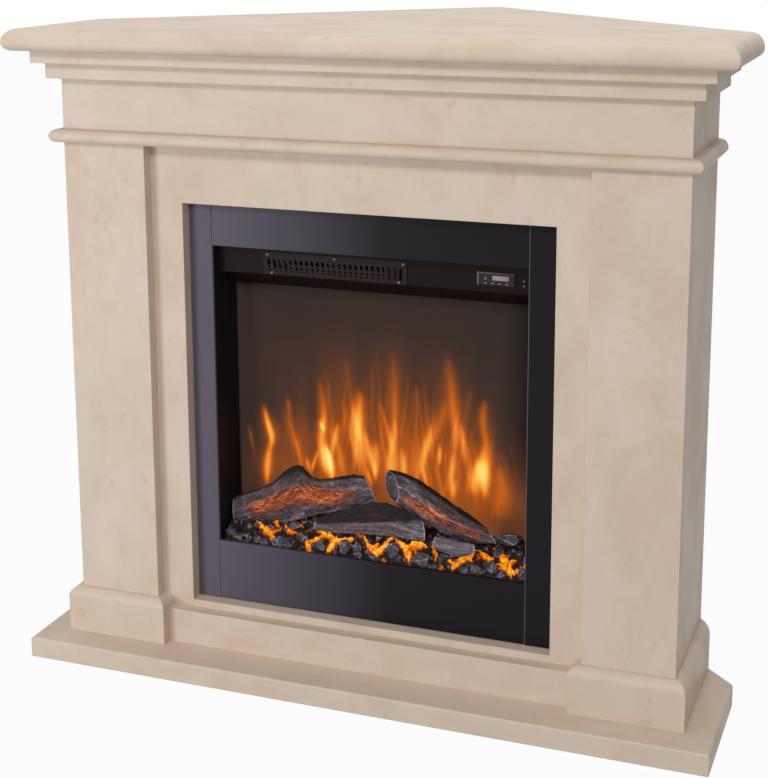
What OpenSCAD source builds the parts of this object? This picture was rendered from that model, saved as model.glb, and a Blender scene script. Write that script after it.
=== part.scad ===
// Corner fireplace: a cream stone mantel for a 90 degree room corner, holding an electric fire.
// X runs to the right, Y to the back and Z up, in millimetres. The origin is on the floor, in the
// middle of the whole object's footprint. Inside this file most places are given from the body's
// front face, and from_front() carries them to the origin.

/* [Mantel] */
// Height from the floor to the top of the shelf
total_h = 1000; // [960:5:1100]
// Width over the two pilasters
body_w = 958; // [940:2:1060]
// Front face to the point where the body's two 45 degree rear sides would meet
body_apex = 691; // [660:1:740]
// How much deeper the shelf's point is than the body's, so that only the shelf meets the walls
shelf_reach = 25; // [5:1:60]
// Thickness of the mantel's boards
board_t = 20; // [18:1:24]
// Width of a pilaster's face
pilaster_w = 136.5; // [110:0.5:150]
// Height of the foot blocks above the slab
foot_h = 72; // [60:1:90]
// How far the foot blocks and the base rail's ends stand proud
foot_proud = 17; // [12:1:24]
// Radius of the quarter round on top of a foot block
foot_round = 15; // [6:1:18]
// Flat step between the pilaster and that quarter round
foot_quirk = 2; // [0.5:0.5:4]
// Height of the base rail between the foot blocks
rail_h = 55.5; // [45:0.5:56]

/* [Hearth slab] */
// Thickness of the slab
slab_t = 32; // [25:1:40]
// How far the slab stands out in front
slab_front = 66; // [64:1:90]
// How far the slab stands out at each side
slab_side = 60; // [40:1:80]
// Radius of the slab's eased top edge
slab_ease = 3; // [1:0.5:6]

/* [Head] */
// Height of the frieze board
frieze_h = 98; // [85:1:120]
// Height of the half round moulding along the frieze's lower edge
astragal_h = 20; // [14:1:26]
// How far its round nose stands out from its fillet
astragal_fillet = 7; // [3:1:12]
// Height of the cornice's lower step
step_low_h = 24; // [16:1:32]
// How far the lower step stands out
step_low_proud = 17; // [10:1:24]
// Height of the cornice's upper step
step_high_h = 19; // [12:1:26]
// How far the upper step stands out
step_high_proud = 33; // [26:1:44]
// Thickness of the shelf
shelf_t = 33; // [29:1:45]
// How far the shelf stands out in front
shelf_front = 61; // [58:1:63]
// How far the shelf stands out at each side
shelf_side = 65; // [58:1:80]
// Radius of the upper part of the shelf's nose
nose_top_r = 20; // [14:1:24]
// Depth and height of the battens under the shelf
batten = 20; // [15:1:30]
// Height of those battens
batten_h = 50; // [40:1:70]

/* [Surround panel] */
// Thickness of the set back panel
panel_t = 25; // [22:1:30]
// Width of the opening for the fire
opening_w = 581; // [560:1:590]
// Height of the opening
opening_h = 639; // [620:1:650]
// Strip of panel that shows between the base rail and the opening
sill_h = 11.5; // [8:0.5:14]
// Lap of the panel behind the frieze
panel_lap = 54; // [30:1:60]

/* [Fire: trim and casing] */
// Thickness of the sheet steel
sheet = 1.5; // [1:0.1:2]
// Gap between the trim and the opening's edge
trim_gap = 1; // [0.5:0.5:2]
// Width of a side trim
trim_side_w = 37; // [25:1:45]
// How far the right side trim laps over the window's edge
trim_lap = 6.5; // [0:0.5:8]
// Outside radius of the trim's folds
fold_r = 2; // [1.6:0.1:3]
// Height of the top trim
trim_top_h = 66; // [50:1:72]
// Height of the bottom trim
trim_bottom_h = 96; // [80:1:100]
// How far the trim's face is set back from the surround panel's face
trim_setback = 19.5; // [16:0.5:20]
// Gap between the side trims and the top and bottom trims
trim_joint = 0.8; // [0.5:0.1:1.5]
// Lap of the casing's flange behind the panel, past the opening
flange_lap = 20; // [14:1:26]
// Casing's inset above and below the opening's edges
casing_inset = 5; // [3:1:8]
// Depth of the casing from the panel's back
casing_d = 187; // [180:1:210]
// Width of the casing's rear lip
lip_w = 12; // [10:1:16]

/* [Fire: hood] */
// Height of the hood's front plate above the bottom of the viewing window's top
fascia_drop = 43; // [38:1:46]
// Set back of the hood's front plate behind the trim's face
fascia_setback = 20.5; // [18:0.5:24]
// Rise of the hood's slanted baffle
baffle_rise = 30; // [24:1:34]
// Width of the outlet grille
grille_w = 231; // [225:1:240]
// Height of the outlet grille
grille_h = 35; // [33:1:38]
// Grille's centre, left of the middle
grille_x = -59.5; // [-75:0.5:-45]
// Distance between the grille's slots
slot_pitch = 8.8; // [8:0.1:9.4]
// Width of a slot
slot_w = 4; // [2.4:0.1:4.6]
// Height of the slotted band
slot_h = 19; // [16:0.5:22]
// Lean of the slots at the grille's left end, in degrees
slot_lean = 14; // [0:1:18]
// Height of the bridge between the two rows of short slots
slot_bridge = 3; // [2:0.1:4]

/* [Fire: controls] */
// Width of the control bezel
bezel_w = 56; // [54:1:64]
// Height of the control bezel
bezel_h = 19; // [18.5:0.5:21]
// Bezel's centre, in from the right side trim
bezel_inset = 60.5; // [58:0.5:90]
// Indicator lamps, in from the right side trim
lamp_inset = 18.5; // [12:0.5:22]
// Thickness of the bezel
bezel_t = 2; // [1.6:0.1:2.6]
// Width of a push button
button_w = 5; // [4:0.1:6]
// Height of a push button
button_h = 2.6; // [2:0.1:3]
// Distance between the push buttons
button_pitch = 10.6; // [9:0.1:11]
// How far a button stands out, which is a little more than it travels
button_proud = 0.9; // [0.8:0.1:1.4]
// Travel of a button
button_travel = 0.7; // [0.4:0.1:0.8]
// Clearance round a button
button_gap = 0.2; // [0.1:0.05:0.3]
// Width of the display
display_w = 24.5; // [20:0.5:26]
// Height of the display
display_h = 7; // [5:0.5:8]

/* [Fire: blower and heater] */
// Outer radius of the blower wheel
wheel_r = 24; // [20:0.5:25]
// Length of the blower wheel
wheel_l = 196; // [180:1:200]
// Number of blades
wheel_blades = 24; // [16:1:30]
// Length of a blade from the wheel's rim inwards
blade_d = 6.5; // [5:0.5:8]
// How far a blade leads at the rim, in degrees
blade_curve = 16; // [8:1:20]
// Radius of the blower's shaft
wheel_shaft_r = 3; // [2.5:0.1:4]
// Height of the tallest part on the control board
board_parts_h = 30; // [20:1:40]
// Clear space round the control board
board_gap = 14; // [8:1:16]
// Height of the control board above the tray
board_rise = 8; // [5:0.5:12]
// Radius of the pillars under it
pillar_r = 3; // [2:0.5:4]
// Running clearance of a shaft in its bush, on the radius
run_gap = 0.05; // [0.02:0.01:0.1]
// Gap between the blower wheel and its scroll
scroll_gap = 4; // [3:0.5:5]
// Length of the duct between the hood's front plate and the scroll
duct_l = 34; // [28:1:40]
// Height of the duct's floor plate above the hood's tray
duct_rise = 2; // [1:0.5:4]
// Radius of the blower's motor
blower_motor_r = 22; // [18:0.5:24]
// Length of the blower's motor
blower_motor_l = 34; // [26:1:40]

/* [Fire: flame effect] */
// Thickness of the flame screen
screen_t = 4; // [3:0.5:5]
// Screen's front face behind the trim's face
screen_setback = 83; // [80:1:88]
// Radius of the flame rotor over its reflectors
rotor_r = 23; // [18:0.5:25]
// Radius of the rotor's shaft
rotor_shaft_r = 2.5; // [2:0.1:3]
// Number of reflector stations along the rotor
rotor_stations = 15; // [10:1:17]
// Width of a reflector along the rotor
vane_w = 20; // [14:1:22]
// Height of the rotor's axis above the casing's floor
rotor_rise = 54; // [50:1:60]
// Radius of the rotor's motor
rotor_motor_r = 22; // [18:1:25]
// Length of the rotor's motor
rotor_motor_l = 18; // [14:1:24]
// Height of the flame stencil
stencil_h = 290; // [260:5:310]

/* [Fire: ember bed and logs] */
// Height of the ember bed's front edge above the casing's floor
bed_h = 82; // [76:1:86]
// Rise of the ember bed from front to back
bed_rise = 39; // [30:1:44]
// Height of the coals on the bed
coal_h = 12; // [6:0.5:14]
// Width of a coal
coal_w = 18; // [14:0.5:24]
// Thickness of the ember bed's shell
bed_t = 5; // [4:0.5:8]
// Radius of the logs at their cut ends
log_r = 20; // [16:0.5:21]
// Height of the bark's ridges on the logs
bark = 1.8; // [0.5:0.1:2.5]

/* [Fixings] */
// Length of an angle bracket's legs
bracket_leg = 38; // [32:1:40]
// Width of an angle bracket
bracket_w = 20; // [16:1:26]
// Radius of the holes for wood screws
wood_hole_r = 2.4; // [2.2:0.1:2.8]
// Radius of a wood screw's shank
wood_screw_r = 2; // [1.6:0.1:2.1]
// Length of wood screw in the board
wood_screw_l = 12; // [8:1:16]
// Radius of the cord's hole in the gland
gland_bore_r = 3.8; // [3:0.1:4.5]
// Length of the gland
gland_l = 26; // [20:1:32]

/* [Hidden] */

$fn = 48;
eps = 0.01;
reach = 2000;

// Colours
stone = [0.80, 0.74, 0.67];
timber = [0.72, 0.58, 0.40];
black_steel = [0.10, 0.10, 0.12];
zinc = [0.72, 0.72, 0.74];
plastic = [0.09, 0.09, 0.10];
bark_grey = [0.30, 0.27, 0.25];

// Mantel: derived places
half_w = body_w/2;
shelf_apex = body_apex + shelf_reach;
inner_x = half_w - board_t;
pilaster_x = half_w - pilaster_w;
foot_in_x = pilaster_x - foot_proud;
foot_out_x = half_w + foot_proud;
foot_top = slab_t + foot_h;
rail_top = slab_t + rail_h;
opening_z = rail_top + sill_h;
opening_top = opening_z + opening_h;
shelf_z = total_h - shelf_t;
step_high_z = shelf_z - step_high_h;
step_low_z = step_high_z - step_low_h;
frieze_z = step_low_z - frieze_h;
panel_y = board_t;
panel_back = panel_y + panel_t;
panel_top = frieze_z + panel_lap;
nose_low_r = shelf_t - nose_top_r;

// Fire: derived places
window_x = opening_w/2 - trim_gap - trim_side_w;
trim_y = panel_y + trim_setback;
trim_z = opening_z + trim_gap;
trim_top_z = opening_top - trim_gap;
window_z = trim_z + trim_bottom_h;
window_top = trim_top_z - trim_top_h;
casing_z = opening_z + trim_gap + casing_inset;
casing_top = opening_top - trim_gap - casing_inset;
casing_back = panel_back + casing_d;
floor_z = casing_z + sheet;
roof_z = casing_top - sheet;
flange_x = opening_w/2 + flange_lap;
hood_y = trim_y + fascia_setback;
fascia_z = window_top - fascia_drop;
screen_y = trim_y + screen_setback;
screen_back = screen_y + screen_t;
baffle_z = fascia_z - baffle_rise;
tray_z = fascia_z + sheet;
tray_top = tray_z + sheet;

// Outlet grille: derived places
grille_z = fascia_z + 1;
slot_z = grille_z + grille_h/2 - 2.6;
slot_count = floor((grille_w - 10)/slot_pitch);
slot_x = grille_x - slot_pitch*(slot_count - 1)/2;
end_slots = 4;
grille_t = 1.2;
outlet_margin = 6;

// Controls: derived places
bezel_x = window_x - bezel_inset;
bezel_z = fascia_z + grille_h/2 + 2.6;
bezel_y = hood_y - bezel_t;
control_margin = 3;
button_row_z = bezel_z - bezel_h/2 + 3.4;
button_row_x = bezel_x - bezel_w/2 + 13;
display_x = bezel_x + 7.2;
display_z = bezel_z + 1.5;
power_x = bezel_x - 15;
power_z = bezel_z + 0.6;
power_r = 2.2;
button_flange_t = 0.6;
button_flange = 0.7;
board_t_pcb = 1.6;
pcb_y = hood_y + sheet + 3;
switch_gap = 0.15;

// Blower: derived places
scroll_r = wheel_r + scroll_gap;
wheel_y = hood_y + duct_l + scroll_r;
wheel_z = tray_top + duct_rise + sheet + scroll_r;
wheel_x = grille_x - 1;
wheel_end = wheel_l/2 + 5;
duct_top = slot_z + slot_h/2 + 3;
bush_r = 6;
bush_l = 7;
shaft_hold = 8;

// Flame effect: derived places
rotor_y = screen_back + 12 + rotor_r;
rotor_z = floor_z + rotor_rise;
rotor_motor_x = window_x - rotor_motor_l;
boss_l = 9;
ear_l = rotor_motor_r + 7;
rotor_end = rotor_motor_x - 1;
rotor_bracket_x = -window_x + 12;
stencil_y = screen_back + 4;
strip_t = 1.6;

// Ember bed: derived places
bed_y = panel_back + sheet + 4;
bed_back = screen_y;
bed_x = window_x - 1.5;

// Carries places measured from the body's front face and the floor to the row's origin
module from_front() translate([0, (slab_front - shelf_apex)/2, 0]) children();

module mirrored_if(left) {
    if (left) mirror([1, 0, 0]) children();
    else children();
}

// ---------------------------------------------------------------- plan and profile helpers

// Plan of everything in front of the two 45 degree rear sides that meet at depth apex
module corner_plan(apex)
    polygon([[-apex - reach, -reach], [apex + reach, -reach], [0, apex]]);

module corner_prism(apex) translate([0, 0, -eps]) linear_extrude(total_h + 1) corner_plan(apex);

// Region that a moulding along the front keeps: in front of the two mitre lines
module front_zone() translate([0, 0, -eps]) linear_extrude(total_h + 1) corner_plan(half_w);

// Region that a right-hand return keeps: behind the mitre, before the body's rear side
module return_zone()
    translate([0, 0, -eps])
        linear_extrude(total_h + 1)
            polygon([
                [half_w + reach, -reach], [body_apex + reach, -reach], [0, body_apex], [0, half_w]
            ]);

// Extrudes a profile, drawn as (distance proud, height), along the front face
module along_front()
    intersection() {
        translate([body_w, 0, 0])
            rotate([0, 0, -90])
                rotate([90, 0, 0])
                    linear_extrude(2*body_w) children();
        front_zone();
    }

// Extrudes the same profile along the right-hand return
module along_return()
    intersection() {
        translate([half_w, body_apex, 0])
            rotate([90, 0, 0])
                linear_extrude(2*body_apex) children();
        return_zone();
    }

// Extrudes a profile drawn in (x, z) along the whole depth
module through_depth() translate([0, reach, 0]) rotate([90, 0, 0]) linear_extrude(2*reach) children();

// Extrudes a profile drawn in (y, z) along x, to half_l on each side of the middle
module through_width(half_l)
    translate([half_l, 0, 0])
        rotate([0, 0, 90])
            mirror([0, 1, 0])
                rotate([90, 0, 0])
                    mirror([0, 0, 1])
                        translate([0, 0, -2*half_l])
                            linear_extrude(2*half_l) children();

module rect(x0, x1, z0, z1) translate([x0, z0]) square([x1 - x0, z1 - z0]);

module box(x0, x1, y0, y1, z0, z1) translate([x0, y0, z0]) cube([x1 - x0, y1 - y0, z1 - z0]);

// A rod along X from x0 to x1
module rod_x(r, x0, x1, y, z)
    translate([x0, y, z]) rotate([0, 90, 0]) cylinder(r = r, h = x1 - x0);

// A rod along Y from y0 to y1
module rod_y(r, y0, y1, x, z)
    translate([x, y1, z]) rotate([90, 0, 0]) cylinder(r = r, h = y1 - y0);

// ---------------------------------------------------------------- mantel

// Rectangle with its two upper corners eased by r
module eased_rect(x0, x1, z0, z1, r) {
    rect(x0, x1, z0, z1 - r);
    rect(x0 + r, x1 - r, z0, z1);
    for (x = [x0 + r, x1 - r])
        translate([x, z1 - r]) circle(r = r);
}

module hearth_slab() {
    far = body_apex + reach/2;
    color(stone)
        from_front()
            intersection() {
                through_depth()
                    eased_rect(-half_w - slab_side, half_w + slab_side, 0, slab_t, slab_ease);
                through_width(reach/2) eased_rect(-slab_front, far, 0, slab_t, slab_ease);
                corner_prism(body_apex);
            }
}

// Profile of a foot block between x0 and x1, with a quarter round over each end
module foot_profile(x0, x1) {
    shoulder = foot_top - foot_round;
    rect(x0 - foot_proud, x1 + foot_proud, slab_t, shoulder);
    rect(x0 - foot_quirk, x1 + foot_quirk, slab_t, foot_top);
    for (x = [x0 - foot_quirk, x1 + foot_quirk])
        translate([x, shoulder])
            scale([(foot_proud - foot_quirk)/foot_round, 1])
                circle(r = foot_round);
}

// The foot wraps the pilaster's front, its outer side and, up to the panel, its inner side
module foot_right_body()
    difference() {
        intersection() {
            through_depth() foot_profile(pilaster_x, half_w);
            through_width(reach/2) foot_profile(0, body_apex + reach/2);
            corner_prism(body_apex);
        }
        box(pilaster_x, half_w, 0, reach, 0, total_h);
        box(0, pilaster_x + 1, panel_y, reach, 0, total_h);
    }

module foot(left) color(stone) from_front() mirrored_if(left) foot_right_body();

// Face board and return in one, with its rear end cut to the wall's 45 degrees
module pilaster(left)
    color(stone)
        from_front()
            mirrored_if(left)
                translate([0, 0, slab_t])
                    linear_extrude(frieze_z - slab_t)
                        polygon([
                            [pilaster_x, 0], [half_w, 0], [half_w, body_apex - half_w],
                            [inner_x, body_apex - inner_x], [inner_x, board_t], [pilaster_x, board_t]
                        ]);

module surround_panel()
    color(stone)
        from_front()
            difference() {
                box(-inner_x, inner_x, panel_y, panel_back, slab_t, panel_top);
                box(-opening_w/2, opening_w/2, 0, reach, opening_z, opening_top);
            }

module base_rail()
    color(stone)
        from_front()
            box(-foot_in_x, foot_in_x, 0, panel_y, slab_t, rail_top);

module frieze_profile() rect(-board_t, 0, frieze_z, step_low_z);

module frieze_front() color(stone) from_front() along_front() frieze_profile();

module frieze_side(left) color(stone) from_front() mirrored_if(left) along_return() frieze_profile();

// Half round with a short fillet, planted on the frieze's lower edge
module astragal_profile() {
    r = astragal_h/2;
    rect(0, astragal_fillet, frieze_z, frieze_z + astragal_h);
    translate([astragal_fillet, frieze_z + r]) circle(r = r);
}

// Only what lies proud of the body's face
module proud_part() intersection() {
    astragal_profile();
    rect(0, reach, 0, total_h);
}

module astragal_front() color(stone) from_front() along_front() proud_part();

module astragal_side(left) color(stone) from_front() mirrored_if(left) along_return() proud_part();

module cornice_profile() {
    rect(-board_t, step_low_proud, step_low_z, step_high_z);
    rect(-board_t, step_high_proud, step_high_z, shelf_z);
}

module cornice_front() color(stone) from_front() along_front() cornice_profile();

module cornice_side(left) color(stone) from_front() mirrored_if(left) along_return() cornice_profile();

// Shelf's edge: a large quarter round above a smaller one, between edges at x0 and x1
module nose_profile(x0, x1) {
    mid = total_h - nose_top_r;
    rect(x0 + nose_top_r, x1 - nose_top_r, shelf_z, total_h);
    rect(x0 + nose_low_r, x1 - nose_low_r, shelf_z, mid);
    for (x = [x0 + nose_top_r, x1 - nose_top_r])
        intersection() {
            translate([x, mid]) circle(r = nose_top_r);
            rect(-2*reach, 2*reach, mid, total_h + 1);
        }
    for (x = [x0 + nose_low_r, x1 - nose_low_r])
        intersection() {
            translate([x, mid]) circle(r = nose_low_r);
            rect(-2*reach, 2*reach, shelf_z - 1, mid);
        }
}

module mantel_shelf()
    color(stone)
        from_front()
            intersection() {
                through_depth() nose_profile(-half_w - shelf_side, half_w + shelf_side);
                through_width(reach/2) nose_profile(-shelf_front, body_apex + reach/2);
                corner_prism(shelf_apex);
            }

// Batten under the shelf, along one of the body's rear sides, mitred at the apex
module shelf_batten(left) {
    inner = body_apex - batten*sqrt(2);
    color(timber)
        from_front()
            mirrored_if(left)
                translate([0, 0, shelf_z - batten_h])
                    linear_extrude(batten_h)
                        polygon([
                            [0, body_apex], [0, inner],
                            [inner_x, inner - inner_x], [inner_x, body_apex - inner_x]
                        ]);
}

// ---------------------------------------------------------------- brackets and wood screws

bracket_t = 2;
bracket_hole = bracket_leg*0.62;
screw_head_r = 4;
screw_head_t = 2.2;

// Places of the brackets: [x, y, z, turn about Z, upside down]
top_bracket_x = [-0.82*inner_x, -0.3*inner_x, 0.3*inner_x, 0.82*inner_x];
foot_bracket_x = (opening_w/2 + flange_lap + inner_x)/2;
side_bracket_y = (panel_back + body_apex - inner_x)/2;

// Lays one bracket's frame at each place: leg up along +Z on a face at y = 0, leg out along +Y
module each_bracket() {
    for (x = top_bracket_x)
        translate([x, board_t, shelf_z]) mirror([0, 0, 1]) children();
    for (side = [-1, 1]) {
        translate([side*foot_bracket_x, panel_back, slab_t]) children();
        translate([side*inner_x, side_bracket_y, slab_t]) rotate([0, 0, side*90]) children();
    }
}

module angle_bracket()
    difference() {
        union() {
            box(-bracket_w/2, bracket_w/2, 0, bracket_t, 0, bracket_leg);
            box(-bracket_w/2, bracket_w/2, 0, bracket_leg, 0, bracket_t);
        }
        rod_y(wood_hole_r, -1, bracket_t + 1, 0, bracket_hole);
        translate([0, bracket_hole, -1]) cylinder(r = wood_hole_r, h = bracket_t + 2);
    }

// Wood screw along -Z, with the underside of its head at z = 0
module wood_screw(grip) {
    translate([0, 0, -grip - wood_screw_l]) cylinder(r = wood_screw_r, h = grip + wood_screw_l + eps);
    cylinder(r1 = screw_head_r, r2 = screw_head_r - 1, h = screw_head_t);
}

module angle_brackets() color(zinc) from_front() each_bracket() angle_bracket();

module bracket_screws()
    color(zinc)
        from_front()
            each_bracket() {
                translate([0, bracket_hole, bracket_t]) wood_screw(bracket_t);
                translate([0, bracket_t, bracket_hole]) rotate([-90, 0, 0]) wood_screw(bracket_t);
            }

// Two timber blocks that carry the fire's casing
module insert_bearers() {
    block_w = 60;
    color(timber)
        from_front()
            for (side = [-1, 1])
                translate([side*(window_x - block_w) - block_w/2, panel_back + 6, slab_t])
                    cube([block_w, casing_d - 20, casing_z - slab_t]);
}

// ---------------------------------------------------------------- fire: trim and casing

// Outline of a folded sheet from edge to edge, its front corners rounded by the folds
module fold_profile(edge0, edge1)
    polygon([
        [edge0, panel_back],
        for (a = [0:15:90]) [edge0 + fold_r*(1 - cos(a)), trim_y + fold_r*(1 - sin(a))],
        for (a = [90:-15:0]) [edge1 - fold_r*(1 - cos(a)), trim_y + fold_r*(1 - sin(a))],
        [edge1, panel_back]
    ]);

// Folded sheet tray, open at its back; its long folds are rounded
module trim_tray(x0, x1, z0, z1, upright)
    difference() {
        if (upright)
            translate([0, 0, z0]) linear_extrude(z1 - z0) fold_profile(x0, x1);
        else
            translate([x1, 0, 0]) rotate([0, -90, 0]) linear_extrude(x1 - x0) fold_profile(z0, z1);
        box(x0 + sheet, x1 - sheet, trim_y + sheet, panel_back + 1, z0 + sheet, z1 - sheet);
    }

module trim_side(left)
    color(black_steel)
        from_front()
            mirrored_if(left)
                trim_tray(window_x - (left ? 0 : trim_lap), window_x + trim_side_w, trim_z, trim_top_z, true);

module trim_top()
    color(black_steel)
        from_front()
            trim_tray(
                -window_x + trim_joint, window_x - trim_lap - trim_joint, window_top, trim_top_z, false
            );

module trim_bottom()
    color(black_steel)
        from_front()
            trim_tray(-window_x + trim_joint, window_x - trim_lap - trim_joint, trim_z, window_z, false);

flange_hole_r = 2.4;
flange_hole_x = opening_w/2 + flange_lap/2;
flange_hole_z = [for (k = [0:3]) opening_z + opening_h*(0.08 + 0.28*k)];

module each_flange_hole()
    for (side = [-1, 1])
        for (z = flange_hole_z)
            translate([side*flange_hole_x, panel_back, z]) children();

cover_hole_r = 2.1;
cover_hole_z = [for (k = [0:2]) casing_z + 40 + (casing_top - casing_z - 80)*k/2];

module each_cover_hole()
    for (side = [-1, 1])
        for (z = cover_hole_z)
            translate([side*(window_x - lip_w/2), casing_back, z]) children();

// Steel box, open at the front, with a flange behind the panel and a lip for the rear cover
module casing()
    color(black_steel)
        from_front()
            difference() {
                union() {
                    box(-window_x - sheet, window_x + sheet, panel_back, casing_back, casing_z, casing_top);
                    box(
                        -flange_x, flange_x, panel_back, panel_back + sheet,
                        opening_z - flange_lap, opening_top + flange_lap
                    );
                }
                box(-window_x, window_x, 0, casing_back - sheet, floor_z, roof_z);
                box(-window_x + lip_w, window_x - lip_w, 0, reach, floor_z + lip_w, roof_z - lip_w);
                each_flange_hole() rod_y(flange_hole_r, -1, sheet + 1, 0, 0);
                each_cover_hole() rod_y(cover_hole_r, -sheet - 1, 1, 0, 0);
            }

module flange_screws()
    color(zinc)
        from_front()
            each_flange_hole()
                translate([0, sheet, 0]) rotate([-90, 0, 0]) wood_screw(sheet);

gland_x = -window_x + 70;
gland_z = floor_z + 60;
gland_thread_r = 6.5;
vent_rows = 2;
vent_count = 14;

// Louvre slots for the blower's air, high on the rear cover
module cover_vents()
    for (row = [0:vent_rows - 1])
        for (k = [0:vent_count - 1]) {
            x = grille_x + (k - (vent_count - 1)/2)*15;
            z = roof_z - 36 - 30*row;
            box(x - 2.5, x + 2.5, casing_back - 1, casing_back + sheet + 1, z - 10, z + 10);
        }

module rear_cover()
    color(black_steel)
        from_front()
            difference() {
                box(
                    -window_x - sheet, window_x + sheet, casing_back, casing_back + sheet,
                    casing_z, casing_top
                );
                cover_vents();
                rod_y(gland_thread_r, casing_back - 1, casing_back + sheet + 1, gland_x, gland_z);
                each_cover_hole() rod_y(cover_hole_r, -1, sheet + 1, 0, 0);
            }

module cover_screws() {
    shank_r = cover_hole_r - 0.2;
    color(zinc)
        from_front()
            each_cover_hole() {
                rod_y(shank_r, -6, sheet + eps, 0, 0);
                rod_y(3.8, sheet, sheet + 2, 0, 0);
            }
}

// Strain relief where the mains lead enters: a collar, a nut inside and a tapered nose outside
module cord_gland() {
    inner_l = 8;
    collar_t = 3;
    color(plastic)
        from_front()
            translate([gland_x, casing_back + sheet, gland_z])
                rotate([-90, 0, 0])
                    difference() {
                        union() {
                            translate([0, 0, -inner_l]) cylinder(r = gland_thread_r, h = inner_l + collar_t);
                            cylinder(r = gland_thread_r + 3, h = collar_t);
                            translate([0, 0, collar_t])
                                cylinder(r1 = gland_thread_r, r2 = gland_bore_r + 1.4, h = gland_l - inner_l - collar_t);
                            translate([0, 0, -inner_l])
                                cylinder(r = gland_thread_r + 2.5, h = inner_l - sheet);
                        }
                        translate([0, 0, -inner_l - 1]) cylinder(r = gland_bore_r, h = gland_l + 2);
                    }
}

// ---------------------------------------------------------------- fire: hood and grille

grille_holes = [
    [-grille_w/2 + 6, grille_h - 4.5], [0, grille_h - 4.5], [grille_w/2 - 6, grille_h - 4.5],
    [-grille_w/2 + 13, 2.6], [grille_w/2 - 13, 2.6]
];
grille_hole_r = 1.3;

module each_grille_hole()
    for (hole = grille_holes)
        translate([grille_x + hole[0], hood_y, grille_z + hole[1]]) children();

// Section of the hood: front plate with a fold at its top, slanted baffle, and the heater's tray
module hood_profile() {
    rect(hood_y, hood_y + sheet, fascia_z, roof_z);
    rect(hood_y, hood_y + 12, roof_z - sheet, roof_z);
    rect(hood_y, casing_back - sheet, tray_z, tray_top);
    polygon([
        [hood_y, fascia_z], [screen_y - 1, baffle_z], [screen_y - 1, baffle_z + sheet],
        [hood_y + sheet, fascia_z + 2*sheet]
    ]);
    rect(screen_y - 1 - sheet, screen_y - 1, baffle_z, baffle_z + 4);
}

lamp_x = window_x - lamp_inset;
lamp_r = 1.6;
lamp_z = [bezel_z - 7.6, bezel_z - 0.4];

module hood()
    color(black_steel)
        from_front()
            difference() {
                through_width(window_x) hood_profile();
                box(
                    grille_x - grille_w/2 + outlet_margin, grille_x + grille_w/2 - outlet_margin,
                    hood_y - 1, hood_y + sheet + 1, slot_z - slot_h/2 + 0.5, slot_z + slot_h/2
                );
                box(
                    bezel_x - bezel_w/2 + control_margin, bezel_x + bezel_w/2 - control_margin,
                    hood_y - 1, hood_y + sheet + 1,
                    bezel_z - bezel_h/2 + 1, bezel_z + bezel_h/2 - control_margin
                );
                each_grille_hole() rod_y(grille_hole_r, -1, sheet + 1, 0, 0);
                for (z = lamp_z)
                    rod_y(lamp_r, hood_y - 1, hood_y + sheet + 1, lamp_x, z);
            }

// Slot of height h with round ends, cut through the grille's plate
module grille_slot(h) {
    r = slot_w/2;
    translate([0, hood_y + 1, 0])
        rotate([90, 0, 0])
            linear_extrude(grille_t + 2) {
                rect(-r, r, -h/2 + r, h/2 - r);
                for (side = [-1, 1])
                    translate([0, side*(h/2 - r)]) circle(r = r);
            }
}

// Full slots at both ends, two rows of short ones between, all leaning less towards the right
module grille_slots() {
    short_h = (slot_h - slot_bridge)/2;
    for (k = [0:slot_count - 1]) {
        lean = slot_lean*(1 - k/(slot_count - 1));
        full = k < end_slots || k > slot_count - end_slots;
        translate([slot_x + k*slot_pitch, 0, slot_z])
            rotate([0, -lean, 0])
                if (full) grille_slot(slot_h);
                else
                    for (side = [-1, 1])
                        translate([0, 0, side*(short_h + slot_bridge)/2]) grille_slot(short_h);
    }
}

module outlet_grille()
    color(black_steel)
        from_front()
            difference() {
                box(
                    grille_x - grille_w/2, grille_x + grille_w/2, hood_y - grille_t, hood_y,
                    grille_z, grille_z + grille_h
                );
                grille_slots();
                each_grille_hole() rod_y(grille_hole_r, -grille_t - 1, 1, 0, 0);
            }

module grille_screws() {
    head_r = 2.2;
    color(zinc)
        from_front()
            each_grille_hole() {
                rod_y(grille_hole_r - 0.1, -grille_t - eps, sheet, 0, 0);
                translate([0, -grille_t, 0])
                    rotate([90, 0, 0])
                        intersection() {
                            translate([0, 0, -head_r]) sphere(r = head_r*sqrt(2));
                            cylinder(r = head_r, h = head_r);
                        }
            }
}

// ---------------------------------------------------------------- fire: controls

button_x = [for (k = [0:3]) button_row_x + k*button_pitch];

// Outline of a push button in the bezel, grown by gap
module key_outline(gap) {
    r = button_h/2 + gap;
    half = button_w/2 - button_h/2;
    rect(-half, half, -r, r);
    for (side = [-1, 1])
        translate([side*half, 0]) circle(r = r);
}

module along_y(y0, y1) translate([0, y1, 0]) rotate([90, 0, 0]) linear_extrude(y1 - y0) children();

module control_bezel()
    color(plastic)
        from_front()
            difference() {
                box(
                    bezel_x - bezel_w/2, bezel_x + bezel_w/2, bezel_y, hood_y,
                    bezel_z - bezel_h/2, bezel_z + bezel_h/2
                );
                for (x = button_x)
                    translate([x, 0, button_row_z]) along_y(0, reach) key_outline(button_gap);
                rod_y(power_r + button_gap, 0, reach, power_x, power_z);
                box(
                    display_x - display_w/2, display_x + display_w/2, 0, reach,
                    display_z - display_h/2, display_z + display_h/2
                );
            }

module display_window()
    color([0.75, 0.55, 0.55])
        from_front()
            box(
                display_x - display_w/2 + 0.05, display_x + display_w/2 - 0.05,
                bezel_y + 0.3, hood_y + 1,
                display_z - display_h/2 + 0.05, display_z + display_h/2 - 0.05
            );

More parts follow.
